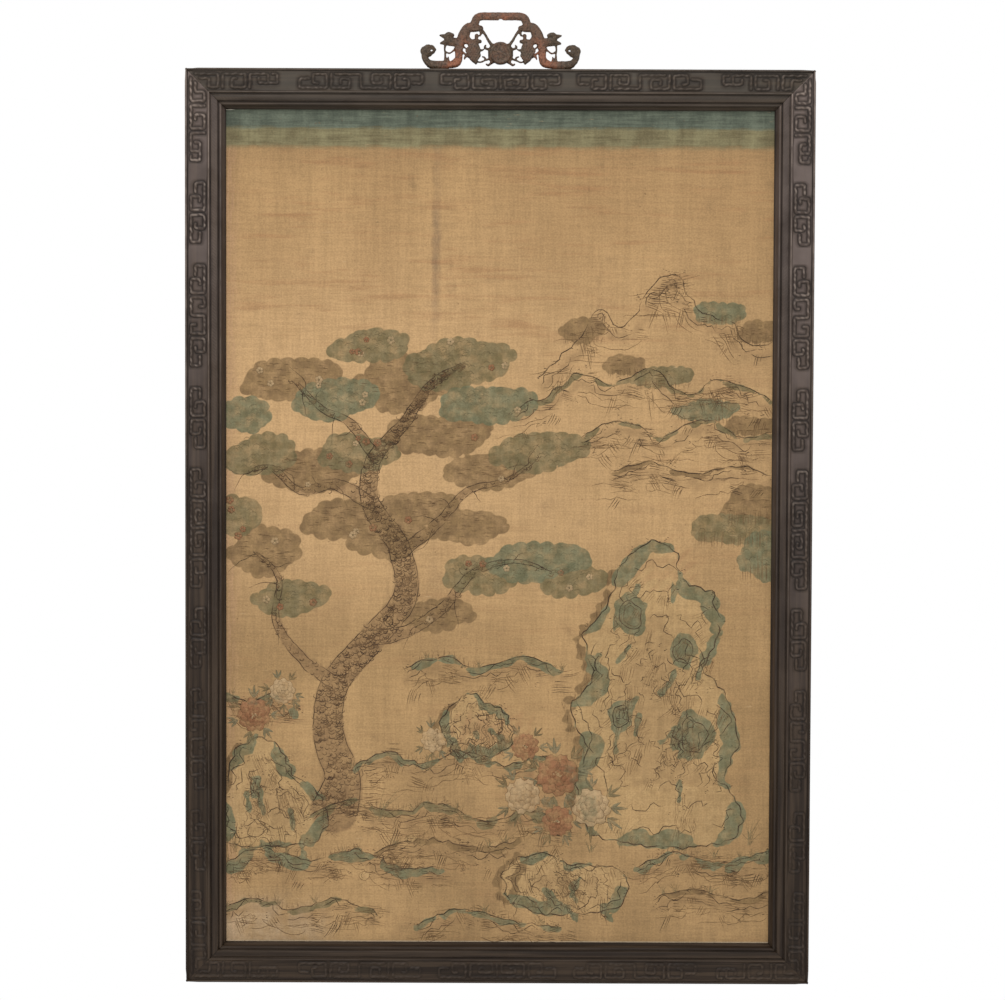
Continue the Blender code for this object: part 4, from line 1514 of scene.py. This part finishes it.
    def build(self) -> list[Piece]:
        """Make one piece of each paint, following the cloth's front.

        Returns:
            The pieces.
        """
        pieces = []
        for pigment, marks in self.marks.items():
            places, heights, parts, tones = zip(*marks)
            sizes = [len(part) for part in places]
            starts = np.cumsum([0, *sizes])
            places, heights = np.concatenate(places), np.concatenate(heights)
            faces = [[i + start for i in face] for part, start in zip(parts, starts) for face in part]
            y = self.panel.front(places) - heights * MM
            points = np.column_stack([places.real * MM, y, places.imag * MM + CENTRE_Z])
            attributes = {wash.value: self.panel.sample(values, places)
                          for wash, values in self.panel.washes.items()}
            attributes["tone"] = np.repeat(tones, sizes)
            piece = mesh_object(f"paint_{pigment.value}", points, faces, attributes)
            self.panel.map(piece)
            pieces.append(dress(piece, PAINTS[pigment].material(pigment)))
        return pieces


# ---- the painted garden: a generic design of common motifs
LEAF_PAINT = {Wash.TEAL: Pigment.TEAL, Wash.OLIVE: Pigment.OLIVE, Wash.BROWN: Pigment.SEPIA}


def arc(centre: complex, radius: float, start: float = 0.0, sweep: float = 1.0, shrink: float = 1.0,
        count: int = 8, squash: float = 1.0) -> Array:
    """Places on an arc or spiral.

    Args:
        centre: its middle.
        radius: its radius at the start.
        start: angle of its start, in turns.
        sweep: how far it goes, in turns.
        shrink: share of the radius that is left at its end.
        count: number of places.
        squash: height as a share of its width.

    Returns:
        The places, one end left out of a full turn.
    """
    t = np.linspace(0, 1, count, endpoint=sweep != 1)
    spoke = radius * (1 + (shrink - 1) * t) * np.exp(1j * math.tau * (start + sweep * t))
    return centre + spoke.real + 1j * squash * spoke.imag


def uneven(path: Array, seed: int, *sways: Pair) -> Array:
    """Sway a path sideways.

    Args:
        path: its places.
        seed: picks the waves.
        *sways: height and length of each set of waves, in mm.

    Returns:
        The swayed places.
    """
    for index, (height, length) in enumerate(sways):
        path = path + sideways(path) * height * waves(path, seed + index, length)
    return path


class GardenBrush(Brush):
    """A brush with the strokes that gardens are painted with."""

    def broken(self, pigment: Pigment, path: Array, width: float, runs: tuple[int, int] = (7, 18),
               gaps: tuple[int, int] = (0, 2)) -> None:
        """Brush a long line in runs, as a hand with a drying brush does.

        Args:
            pigment: its paint.
            path: its places.
            width: its width, in mm.
            runs: number of places in a run, from the least to below the second number.
            gaps: the same of the gaps.
        """
        start = 0
        while start < len(path) - 3:
            run = int(self.draw.integers(*runs))
            self.line(pigment, path[start:start + run + 1], width, (0.12, 0.2), wobble=0.8, spacing=6.5)
            start += run + int(self.draw.integers(*gaps))

    def moss(self, path: Array, count: int, spread: float = 3.0) -> None:
        """Dot moss in clusters along a path.

        Args:
            path: its places.
            count: number of clusters.
            spread: how far from the path they lie, in mm.
        """
        draw = self.draw
        for _ in range(count):
            middle = draw.choice(path) + complex(*draw.normal(0, spread, 2))
            for _ in range(int(draw.integers(2, 6))):
                dot = rect(draw.uniform(2.4, 4.2), draw.uniform(-0.4, 0.4)) * np.arange(3) / 2
                self.line(Pigment.INK, middle + complex(*draw.normal(0, 3.0, 2)) + dot, 1.8, (0.42, 0.5),
                          0.08, 0.0, 1.2)

    def gully(self, place: complex, turn: float, length: float) -> None:
        """Draw a jagged crack with a fainter echo beside it and moss along it.

        Args:
            place: where it starts.
            turn: its direction, in radians.
            length: its length, in mm.
        """
        draw = self.draw
        path = [place]
        for index in range(max(3, round(length / 13))):
            bend = turn + (0.75 if index % 2 else -0.55) + draw.normal(0, 0.3)
            path.append(path[-1] + rect(draw.uniform(8, 17), bend))
        path = np.array(path)
        self.line(Pigment.INK, path, 1.7, (0.15, 0.5), wobble=0.6)
        shift = complex(draw.uniform(4, 7), draw.uniform(-5, -1))
        self.line(Pigment.SEPIA, path[:-1] + shift, 1.2, (0.3, 0.5), wobble=0.8)
        self.moss(path, 2)

    def blades(self, path: Array, height: float, pigment: Pigment, spread: float = 2.0) -> None:
        """Brush short upright strokes that rise from a path, as grass or hatching.

        Args:
            path: its foot.
            height: usual height, in mm.
            pigment: its paint.
            spread: how far the tips lean to the sides, in mm.
        """
        draw = self.draw
        for foot in np.repeat(path, 2):
            foot += complex(draw.uniform(-3, 3), -2)
            top = foot + complex(draw.normal(0, spread), 2 + height * draw.uniform(0.45, 1.1))
            bend = (foot + top) / 2 - (top - foot).real * 0.2
            self.line(pigment, (foot, bend, top), 1.4, (0.1, 0.6), wobble=0.1, spacing=9.0)

    def fibres(self, place: complex, turn: float, count: int, pigment: Pigment, width: float,
               lengths: Pair) -> None:
        """Draw a cluster of nearly parallel strokes, as on painted rocks and banks.

        Args:
            place: where the cluster starts.
            turn: direction of the strokes, in radians.
            count: number of strokes.
            pigment: their paint.
            width: their width, in mm.
            lengths: least and greatest length, in mm.
        """
        draw = self.draw
        length, bend = draw.uniform(*lengths), draw.uniform(-0.22, 0.22)
        t = np.array([0, 0.35, 0.7, 1.0])
        for index in range(count):
            reach = length * (1 - 0.55 * index / count) * draw.uniform(0.75, 1.1)
            off, start = index * 3.5 * draw.uniform(0.8, 1.2), draw.uniform(0, 0.2) * length
            stroke = start + reach * t + 1j * (off + bend * reach * t * t)
            self.line(pigment, place + stroke * rect(1, turn), width * draw.uniform(0.8, 1.2), (0.2, 0.6))

    def mass(self, x: float, z: float, wide: float, tall: float, wash: Wash, scallop: float = 12.0) -> None:
        """Paint a mass of leaves as a scalloped wash with faint rows of strokes.

        Args:
            x: its middle.
            z: its middle.
            wide: half its width, in mm.
            tall: half its height, in mm.
            wash: its colour.
            scallop: half the width of one scallop, in mm.
        """
        draw = self.draw
        turn = np.linspace(0, math.tau, 180, endpoint=False)
        for dx, dz, size in ((0, 0, 1.0), (-0.62, -0.25, 0.55), (0.58, 0.2, 0.6)):
            sway = draw.uniform(0, math.tau, 2)
            rough = 1 + 0.13 * np.sin(2 * turn + sway[0]) + 0.1 * np.sin(3 * turn + sway[1])
            oval = (complex(x + dx * wide, z + dz * tall)
                    + size * rough * (wide * np.cos(turn) + 1j * tall * np.sin(turn)))
            step = np.roll(oval, -1) - oval
            length = abs(step)
            count = max(5, round(length.sum() / (1.8 * scallop)))
            phase = np.cumsum(length) / length.sum() * count % 1
            bulge = scallop * 0.62 * np.sqrt(1 - (2 * phase - 1) ** 2)
            self.stain(wash, oval - 1j * step / length * bulge, 1.0, 9.0, 0.6)
        for _ in range(int(wide * tall / 40)):
            spot = rect(math.sqrt(draw.random()), draw.uniform(0, math.tau))
            spot = complex(x + wide * spot.real, z + tall * spot.imag)
            size = draw.uniform(4, 7)
            if wash is Wash.BROWN:
                stroke = spot + size * np.array([-1, 0.1j, 1])
            else:
                stroke = arc(spot, size, draw.uniform(0, 0.1), 0.42, count=5)
            self.line(LEAF_PAINT[wash], stroke, 1.3, tone=draw.uniform(0, 0.3))


@dataclass
class FloweringTree:
    """An old tree: scaly trunk, crooked boughs, masses of leaves, small blossom."""

    seed: int
    trunk: Points  # x, z, width
    boughs: tuple[Points, ...]
    masses: tuple  # x, z, half width, half height, wash
    blossoms: int = 44

    def limb(self, brush: GardenBrush, controls: Points, bark: bool) -> Array:
        """Draw trunk or bough: wash, broken outlines, scales of bark and knots.

        Args:
            brush: what paints it.
            controls: its middle line (x, z, width).
            bark: whether it gets scales and knots.

        Returns:
            The places along it.
        """
        draw = brush.draw
        path, widths = smooth_path(controls, 7.0)
        brush.stain(Wash.SHADE, path[::2], 1.0, 9.0, 1.0, widths[::2] * 0.52)
        side = sideways(path)
        for sign, width in ((1, 2.2), (-1, 1.8)):
            brush.broken(Pigment.INK, path + side * sign * widths / 2, width, (6, 15))
        for _ in range(int(widths.sum() / (3.4 if bark else 7.0))):
            at, across = int(draw.integers(len(path))), draw.uniform(-0.46, 0.46)
            scale = path[at] + side[at] * across * widths[at] + complex(*draw.normal(0, 2, 2))
            pigment = Pigment.INK if draw.random() < 0.3 + abs(across) else Pigment.SEPIA
            brush.line(pigment, arc(scale, draw.uniform(2.6, 6.0) * (1 if bark else 0.7),
                                    draw.uniform(0.4, 0.6), 0.62, 0.9, 5, 0.8), 1.9, spacing=3.8)
        for _ in range(5 * bark):
            at = int(draw.integers(len(path) // 8, len(path) * 3 // 4))
            brush.line(Pigment.INK, arc(path[at], widths[at] * 0.22, 0.2, 1.9, 0.3, 13, 1.25), 1.8,
                       spacing=4.0)
        return path

    def twigs(self, brush: GardenBrush, path: Array) -> None:
        """Draw thin crooked twigs off a bough.

        Args:
            brush: what paints them.
            path: the places along the bough.
        """
        draw = brush.draw
        for foot in draw.choice(path[len(path) // 4:], 7):
            turn, reach = draw.uniform(0, math.tau), draw.uniform(20, 52)
            knee = foot + rect(reach * 0.5, turn)
            tip = knee + rect(reach * 0.6, turn + draw.uniform(-0.8, 0.8))
            brush.line(Pigment.INK, (foot, knee, tip), 1.8, (0.05, 0.8), wobble=1.2)

    def blossom(self, brush: GardenBrush, middle: complex, radius: float) -> None:
        """Paint one five-petalled flower.

        Args:
            brush: what paints it.
            middle: its middle.
            radius: its radius, in mm.
        """
        draw = brush.draw
        first = draw.uniform(0, math.tau)
        petals = Pigment.RUST if draw.random() < 0.55 else Pigment.CREAM
        for petal in range(5):
            foot = middle + rect(radius * 0.55, first + petal * math.tau / 5)
            brush.edged(petals, arc(foot, radius * 0.52), 0.19, draw.uniform(0.3, 1.0))
        brush.area(Pigment.OLIVE, arc(middle, radius * 0.24, count=6), 0.25)

    def paint(self, brush: GardenBrush) -> None:
        """Paint the whole tree.

        Args:
            brush: what paints it.
        """
        draw = brush.seed(self.seed)
        for place in self.masses:
            brush.mass(*place)
        self.limb(brush, self.trunk, True)
        for bough in self.boughs:
            self.twigs(brush, self.limb(brush, bough, False))
        for x, z, wide, tall, wash in self.masses[::2]:
            brush.mass(x, z + tall * 0.3, wide * 0.7, tall * 0.6, wash)
        for _ in range(self.blossoms):
            x, z, wide, tall, _ = self.masses[int(draw.integers(len(self.masses)))]
            off = rect(draw.uniform(0.5, 1.1), draw.uniform(0, math.tau))
            self.blossom(brush, complex(x + wide * off.real, z + tall * off.imag), draw.uniform(4.5, 6.5))


@dataclass
class Grove:
    """Masses of distant leaves with a fringe of trunks under them."""

    seed: int
    masses: tuple  # x, z, half width, half height, wash

    def paint(self, brush: GardenBrush) -> None:
        """Paint the masses.

        Args:
            brush: what paints it.
        """
        draw = brush.seed(self.seed)
        for x, z, wide, tall, wash in self.masses:
            feet = np.linspace(x - wide, x + wide, int(wide / 2.6))
            path = feet + 1j * (z - tall - 6 + draw.normal(0, 1.5, len(feet)))
            brush.blades(path, tall * 1.2, Pigment.BROWN)
            brush.mass(x, z, wide, tall, wash, 8.5)


@dataclass
class GardenRock:
    """A weathered garden rock with blue-green edges, folds and pierced hollows."""

    seed: int
    outline: Points
    hollows: Points = ()  # x, z, radius
    folds: int = 34
    border: float = 13.0
    lean: float = -1.9  # direction of its folds, in radians

    def edges(self, brush: GardenBrush, ring: Array, middle: complex) -> None:
        """Paint the coloured edge and the contours that echo it further in.

        Args:
            brush: what paints them.
            ring: the rock's outline.
            middle: its middle.
        """
        shares = np.clip(0.62 + 1.3 * waves(ring, self.seed + 3, 110.0), 0, 1.7)
        band = ring + (middle - ring) / abs(middle - ring) * self.border * 0.5 * shares
        brush.stain(Wash.TEAL, band, 1.0, 9.0, 1.3, shares * self.border / 2)
        brush.broken(Pigment.INK, ring, 2.8)
        for share in (0.88, 0.72, 0.56, 0.4, 0.26):
            inner = uneven(middle + (ring - middle) * share, self.seed + 5, (6, 40.0), (3, 12.0))
            brush.broken(Pigment.INK, inner, 2.0, (5, 13), (2, 10))
            brush.moss(inner, int(6 + 10 * share))

    def hollow(self, brush: GardenBrush, place: complex, radius: float) -> None:
        """Paint one pierced hollow.

        Args:
            brush: what paints it.
            place: its middle.
            radius: its radius, in mm.
        """
        hole = arc(place, radius, count=11, squash=1.3)
        hole = uneven(hole, self.seed, (radius * 0.16, 12.0))
        closed = np.concatenate([hole, hole[:2]])
        brush.stain(Wash.TEAL, (hole - place) * 1.5 + place, 1.0, 9.0, 2.0)
        brush.stain(Wash.SHADE, hole, 1.0, 9.0, 1.0)
        brush.line(Pigment.INK, closed, 2.1, (0.1, 0.1), wobble=0.8)
        brush.line(Pigment.SEPIA, (closed - place) * 0.72 + place + 1.5 - 1j, 1.3)

    def paint(self, brush: GardenBrush) -> None:
        """Paint the rock.

        Args:
            brush: what paints it.
        """
        draw = brush.seed(self.seed)
        ring, _ = smooth_path([*self.outline, self.outline[0]], 9.0)
        ring = uneven(ring, self.seed, (2.6, 30.0), (1.6, 11.0))
        ring[-1] = ring[0]
        middle = ring.mean()
        low = middle.imag - 0.3 * np.ptp(ring.imag)
        brush.stain(Wash.CREAM, ring, 0.8, 9.0, 3.0)
        brush.stain(Wash.SHADE, (ring - middle) * 0.6 + middle, 0.45, 30.0, 12.0)
        self.edges(brush, ring, middle)
        for index in range(self.folds):
            place = draw.choice(ring)
            place += (middle - place) * draw.uniform(0.1, 0.85)
            turn = self.lean + draw.normal(0, 0.3)
            if index % 3:
                brush.fibres(place, turn, int(draw.integers(3, 7)),
                             Pigment.BROWN if index % 2 else Pigment.SEPIA, 1.3, (18, 46))
            else:
                brush.gully(place, turn, draw.uniform(26, 70))
                if index % 2:
                    streak = place + rect(1, turn) * np.array([0, 15, 30])
                    brush.stain(Wash.TEAL, streak, 1.0, 8.0, 1.9, 3.8)
        for x, z, radius in self.hollows:
            self.hollow(brush, complex(x, z), radius)
        brush.moss(ring[ring.imag > low], 26, 4.0)
        left = ring[(ring.real < middle.real - 0.2 * np.ptp(ring.real)) & (ring.imag > low)]
        brush.stain(Wash.BROWN, left[::2] - 8 - 4j, 0.8, 9.0, 5.2, 6.5)
        brush.blades(left[::2] - 9 - 10j, 17, Pigment.SEPIA)


@dataclass
class Bank:
    """A bank of earth: a long broken contour, a green edge, level and hanging fibres."""

    seed: int
    contour: Points
    wash: Wash = Wash.TEAL
    edge: float = 11.0
    fibres: int = 16
    fall: float = -1.15  # direction of the fibres, in radians
    tufts: int = 3
    echoes: tuple = ((8, 2.0, Pigment.INK), (17, 1.8, Pigment.INK), (27, 1.6, Pigment.SEPIA),
                     (38, 1.5, Pigment.SEPIA))

    def paint(self, brush: GardenBrush) -> None:
        """Paint the bank.

        Args:
            brush: what paints it.
        """
        draw = brush.seed(self.seed)
        path = uneven(smooth_path(self.contour, 8.0)[0], self.seed, (2.4, 34.0))
        down = sideways(path)
        down = np.where(down.imag > 0, -down, down)
        if self.edge:
            half = self.edge / 2 * np.clip(0.75 + 0.6 * waves(path, self.seed + 3, 60.0), 0.1, 1.4)
            brush.stain(self.wash, path + down * half, 1.0, 8.0, 1.6, half)
        brush.stain(Wash.SHADE, path + down * 16, 0.5, 16.0, 4.0, 10.0)
        brush.broken(Pigment.INK, path, 2.5)
        for off, width, pigment in self.echoes:
            echo = path + down * (off + 4 * waves(path, self.seed + off, 25.0))
            brush.broken(pigment, echo, width, (4, 11), (3, 12))
            brush.moss(echo, self.fibres // 5)
        for index in range(self.fibres):
            at = int(draw.integers(len(path)))
            place = path[at] + down[at] * draw.uniform(2, 40)
            lean = self.fall if index % 2 else -math.pi - self.fall
            if index % 3:
                lean = draw.uniform(-0.2, 0.1)
            brush.fibres(place, lean, int(draw.integers(3, 6)), Pigment.SEPIA if index % 4 else Pigment.INK,
                         1.6, (16, 40))
            if index % 2:
                reach = draw.uniform(20, 46)
                brush.line(Pigment.SEPIA, place - 1j * draw.uniform(0, 18) + np.array([-reach, 3j, reach]),
                           1.4, (0.3, 0.5), wobble=1.8, spacing=9.0)
        brush.moss(path, 5 + self.fibres // 2)
        first = int(draw.integers(len(path) // 2))
        if self.tufts:
            brush.blades(path[first:first + len(path) // 3], 13.0, Pigment.BROWN)
        for foot in draw.choice(path, self.tufts):
            brush.blades(np.full(4, foot), 14.0, Pigment.OLIVE, 6.0)


@dataclass
class Peony:
    """A full peony with ruffled petals, buds and cut leaves."""

    seed: int
    middle: complex
    radius: float  # mm
    pigment: Pigment = Pigment.RUST
    # from the outside in: number of petals, where they start, their length and width
    rings: tuple = ((9, 0.42, 0.6, 0.46), (8, 0.26, 0.52, 0.4), (6, 0.1, 0.42, 0.34), (5, 0.0, 0.26, 0.26))

    def paint(self, brush: GardenBrush) -> None:
        """Paint leaves, petals from the outside in, and the heart.

        Args:
            brush: what paints it.
        """
        draw = brush.seed(self.seed)
        radius, middle = self.radius, self.middle
        for index in range(7):
            turn = math.tau * index / 7 + draw.uniform(-0.3, 0.3)
            foot = middle + rect(radius * 1.05, turn)
            pigment = (Pigment.TEAL, Pigment.OLIVE)[index % 2]
            for fan in (-0.55, 0.0, 0.55):
                reach = radius * draw.uniform(0.75, 1.0) * (1.0 if fan == 0 else 0.75)
                rib = foot + rect(reach, turn + fan) * np.array([0, 0.5, 1])
                brush.line(Pigment.SEPIA, rib, radius * 0.27 + 1.2, (0.5, 0.6), 0.06, 0.0)
                brush.line(pigment, rib, radius * 0.27, (0.5, 0.6), 0.13, 0.0)
                brush.line(Pigment.SEPIA, rib, 0.9, lift=0.17, wobble=0.2)
        lift, t = 0.16, np.linspace(0, 1, 6)
        bulge = np.sin(np.pi * (0.12 + 0.72 * t)) ** 0.8
        for ring, (count, start, length, width) in enumerate(self.rings):
            first = draw.uniform(0, math.tau)
            for turn in first + math.tau * np.arange(count) / count:
                lift += 0.004
                side = length * t * 0.88 + 1.5j * width / 2 * bulge
                tip = (length * (1 + 0.1 * draw.uniform(-1, 1, 3))
                       + 1.5j * width * np.array([0.24, 0.0, -0.24]))
                petal = np.concatenate([side, tip, side.conj()[::-1]]) + start
                brush.edged(self.pigment, middle + petal * rect(radius, turn), lift,
                            min(1.0, 0.15 + 0.25 * (3 - ring) + draw.uniform(0, 0.2)))
        for _ in range(12):
            seed = middle + complex(*draw.normal(0, radius * 0.08, 2))
            brush.area(Pigment.CREAM, arc(seed, 1.2, count=5), lift + 0.04)


Motif = FloweringTree | Grove | GardenRock | Bank | Peony


def garden() -> list[Motif]:
    """Lay out the garden.

    Returns:
        Its motifs, from the farthest to the nearest.
    """
    teal, olive, brown = Wash.TEAL, Wash.OLIVE, Wash.BROWN
    tree = FloweringTree(
        seed=101,
        trunk=((-262, -452, 74), (-250, -400, 56), (-272, -330, 48), (-262, -250, 44), (-205, -180, 42),
               (-150, -110, 38), (-160, -30, 34), (-205, 40, 30), (-200, 110, 24), (-150, 170, 18),
               (-110, 230, 12), (-60, 262, 6)),
        boughs=(
            ((-206, -176, 26), (-150, -166, 20), (-90, -128, 16), (-40, -70, 11), (30, -52, 6),
             (86, -70, 3)),
            ((-205, 40, 24), (-262, 70, 18), (-318, 60, 13), (-362, 96, 8), (-396, 92, 4)),
            ((-258, -250, 22), (-310, -214, 17), (-356, -150, 12), (-352, -80, 8), (-388, -40, 4)),
            ((-156, -40, 20), (-96, 10, 15), (-50, 60, 11), (12, 78, 7), (60, 112, 4)),
            ((-196, 112, 18), (-240, 170, 13), (-282, 190, 9), (-330, 238, 5)),
        ),
        masses=(
            (-66, 262, 74, 34, olive), (-150, 234, 70, 38, brown), (-16, 198, 62, 26, teal),
            (66, 124, 66, 26, olive), (-14, 92, 58, 26, brown), (-332, 240, 64, 30, brown),
            (-262, 206, 56, 28, teal), (-380, 116, 46, 30, olive), (-300, 90, 62, 26, brown),
            (-372, -36, 46, 32, brown), (-330, -112, 50, 22, olive), (62, -52, 66, 28, teal),
            (-24, -74, 54, 24, olive), (-94, -138, 44, 20, brown), (-128, 32, 50, 22, brown),
            (-226, 120, 50, 24, olive), (120, -84, 44, 20, olive), (-404, 182, 30, 22, teal),
            (-180, -14, 52, 26, brown), (-96, 150, 66, 30, brown), (-250, 14, 56, 24, brown),
            (-52, 4, 50, 22, brown), (-206, 290, 50, 22, olive), (-416, 20, 26, 30, olive),
        ))
    big_rock = GardenRock(
        seed=202,
        outline=((150, -492), (128, -420), (142, -352), (118, -290), (150, -236), (138, -170), (176, -118),
                 (196, -60), (236, -22), (280, -34), (300, -84), (344, -108), (352, -170), (330, -222),
                 (366, -268), (384, -340), (362, -400), (390, -452), (372, -500), (260, -512)),
        hollows=((212, -140, 18), (296, -196, 15), (196, -300, 14), (312, -330, 20)),
        folds=110, border=17.0)
    low_rock = GardenRock(
        seed=203,
        outline=((-436, -420), (-424, -366), (-388, -338), (-352, -352), (-330, -396), (-292, -420),
                 (-272, -470), (-300, -506), (-372, -512), (-440, -500)),
        folds=44, lean=-1.2)
    near_rock = GardenRock(
        seed=205,
        outline=((20, -600), (8, -560), (36, -530), (84, -524), (120, -544), (176, -540), (210, -566),
                 (196, -604), (140, -620), (70, -618)),
        folds=36, lean=-1.2, border=12.0)
    return [
        Bank(611, ((60, 240), (120, 296), (158, 350), (196, 322), (232, 372), (274, 408), (318, 352),
                   (366, 330), (404, 292), (440, 304)), olive, 0, 34, -1.3, 0),
        Grove(311, ((132, 318, 28, 16, brown), (352, 346, 34, 14, teal), (414, 316, 26, 16, brown))),
        Bank(612, ((20, 190), (80, 214), (126, 250), (180, 232), (240, 256), (300, 214), (352, 240),
                   (440, 206)), olive, 7.0, 34, -1.25, 0),
        Grove(312, ((262, 244, 40, 13, olive), (200, 262, 26, 12, brown))),
        Bank(613, ((130, 148), (200, 172), (262, 150), (330, 178), (392, 146), (440, 158)), olive, 7.0, 26,
             -1.1, 0),
        Grove(313, ((330, 190, 42, 12, teal), (402, 166, 34, 12, brown))),
        Bank(614, ((180, 92), (240, 108), (310, 88), (380, 102), (440, 84)), brown, 6.0, 14, -1.0, 0),
        Grove(314, ((412, 40, 46, 26, brown), (374, 2, 52, 22, olive), (424, -40, 30, 34, teal))),
        Bank(601, ((-440, -262), (-400, -280), (-356, -268), (-320, -296))),
        Bank(607, ((-150, -226), (-96, -206), (-30, -222), (40, -204), (104, -226))),
        big_rock,
        Bank(602, ((-236, -384), (-180, -360), (-120, -378), (-60, -356), (10, -380), (70, -364),
                   (132, -392)), fibres=30),
        tree,
        low_rock,
        GardenRock(206, ((-80, -352), (-92, -312), (-70, -282), (-44, -262), (-22, -280), (4, -288),
                         (22, -318), (18, -352), (-20, -366), (-60, -364)), folds=30, lean=-1.4,
                   border=9.0),
        Peony(707, -104 - 340j, 19, Pigment.CREAM),
        Peony(708, 44 - 350j, 21),
        Bank(603, ((-300, -462), (-236, -436), (-170, -456), (-96, -442), (-20, -470), (60, -452),
                   (120, -490)), olive, 12.0, 36),
        Peony(701, 96 - 396j, 33),
        Peony(702, 40 - 430j, 28, Pigment.CREAM),
        Peony(703, 150 - 448j, 30, Pigment.CREAM),
        Peony(704, 96 - 470j, 24),
        Peony(705, -392 - 300j, 26),
        Peony(706, -346 - 262j, 20, Pigment.CREAM),
        Bank(604, ((-440, -540), (-380, -516), (-300, -536), (-230, -516), (-150, -548), (-90, -544)),
             edge=15.0, fibres=34),
        Bank(608, ((-200, -520), (-120, -498), (-40, -512), (30, -502)), brown, 9.0, 20),
        Bank(615, ((-440, -612), (-390, -596), (-330, -614), (-260, -598), (-190, -622)), olive, 8.0, 16),
        near_rock,
        Bank(605, ((222, -544), (290, -520), (350, -538), (440, -516)), edge=14.0, fibres=28),
        Bank(606, ((-130, -640), (-60, -612), (20, -632), (100, -640)), fibres=24),
        Bank(609, ((250, -594), (320, -580), (380, -596), (440, -584)), brown, 8.0, 12),
    ]


def undergrowth(brush: GardenBrush) -> None:
    """Add stones, grass and marks of age along the ground.

    Args:
        brush: what paints them.
    """
    draw = brush.seed(777)
    for x, z, radius in ((-140, -500, 9), (-122, -506, 7), (-20, -516, 8), (-6, -510, 10), (10, -520, 6),
                         (-214, -560, 9), (220, -500, 8), (-410, -560, 8)):
        place = complex(x, z)
        ring = arc(place, radius, squash=0.8) + draw.uniform(-1, 1, 8) * radius * 0.2
        brush.stain(Wash.CREAM, ring, 0.8, 5.0, 0.5)
        brush.stain(Wash.RUST, arc(place, radius * 0.5), 0.5, 5.0, 0.5)
        brush.line(Pigment.SEPIA, np.concatenate([ring, ring[:2]]), 1.1, (0.2, 0.2))
        brush.line(Pigment.INK, arc(place, radius * 0.7, 0.3, 0.4, 0.7, 4), 0.9)
    for x, z, height in ((-420, -520, 22), (-340, -524, 16), (-60, -470, 18), (20, -476, 14),
                         (150, -520, 20), (300, -516, 20), (350, -528, 16), (-250, -528, 20),
                         (-110, -388, 14), (110, -392, 16), (-30, -372, 12), (60, -612, 14),
                         (-190, -470, 50), (196, -512, 46), (404, -508, 44)):
        brush.blades(np.full(5, complex(x, z)), height, Pigment.OLIVE, height * 0.4)
    # a loose thread, a slit and faded red washes
    brush.line(Pigment.OLIVE, (-200 + 488j, -195 + 488.6j, -190 + 488j), 2.4, (0.2, 0.2))
    brush.line(Pigment.SEPIA, (-366 - 162j, -350 - 161j, -332 - 162j), 1.5, (0.3, 0.3))
    for x, z, wide in ((96, -430, 90), (-370, -290, 60), (-10, -330, 70), (260, -60, 60)):
        brush.stain(Wash.RUST, arc(complex(x, z), wide, squash=0.6), 0.45, 40.0, 18.0)


def main() -> None:
    """Build the studio, the frame, the hanger and the painted silk."""
    logging.basicConfig(level=logging.INFO, format="%(message)s")
    Studio().build()
    pieces = [*Frame().build(), Hanger().build()]
    panel = SilkPanel()
    brush = GardenBrush(panel)
    for motif in garden():
        motif.paint(brush)
    undergrowth(brush)
    silk, paints = panel.build(), brush.build()
    for piece in (*pieces, silk, *paints):
        corners = read(piece.data.polygons, "loop_total", 1, np.int32)
        LOG.info("%s: %d triangles", piece.name, int((corners - 2).sum()))


if __name__ == "__main__":
    main()
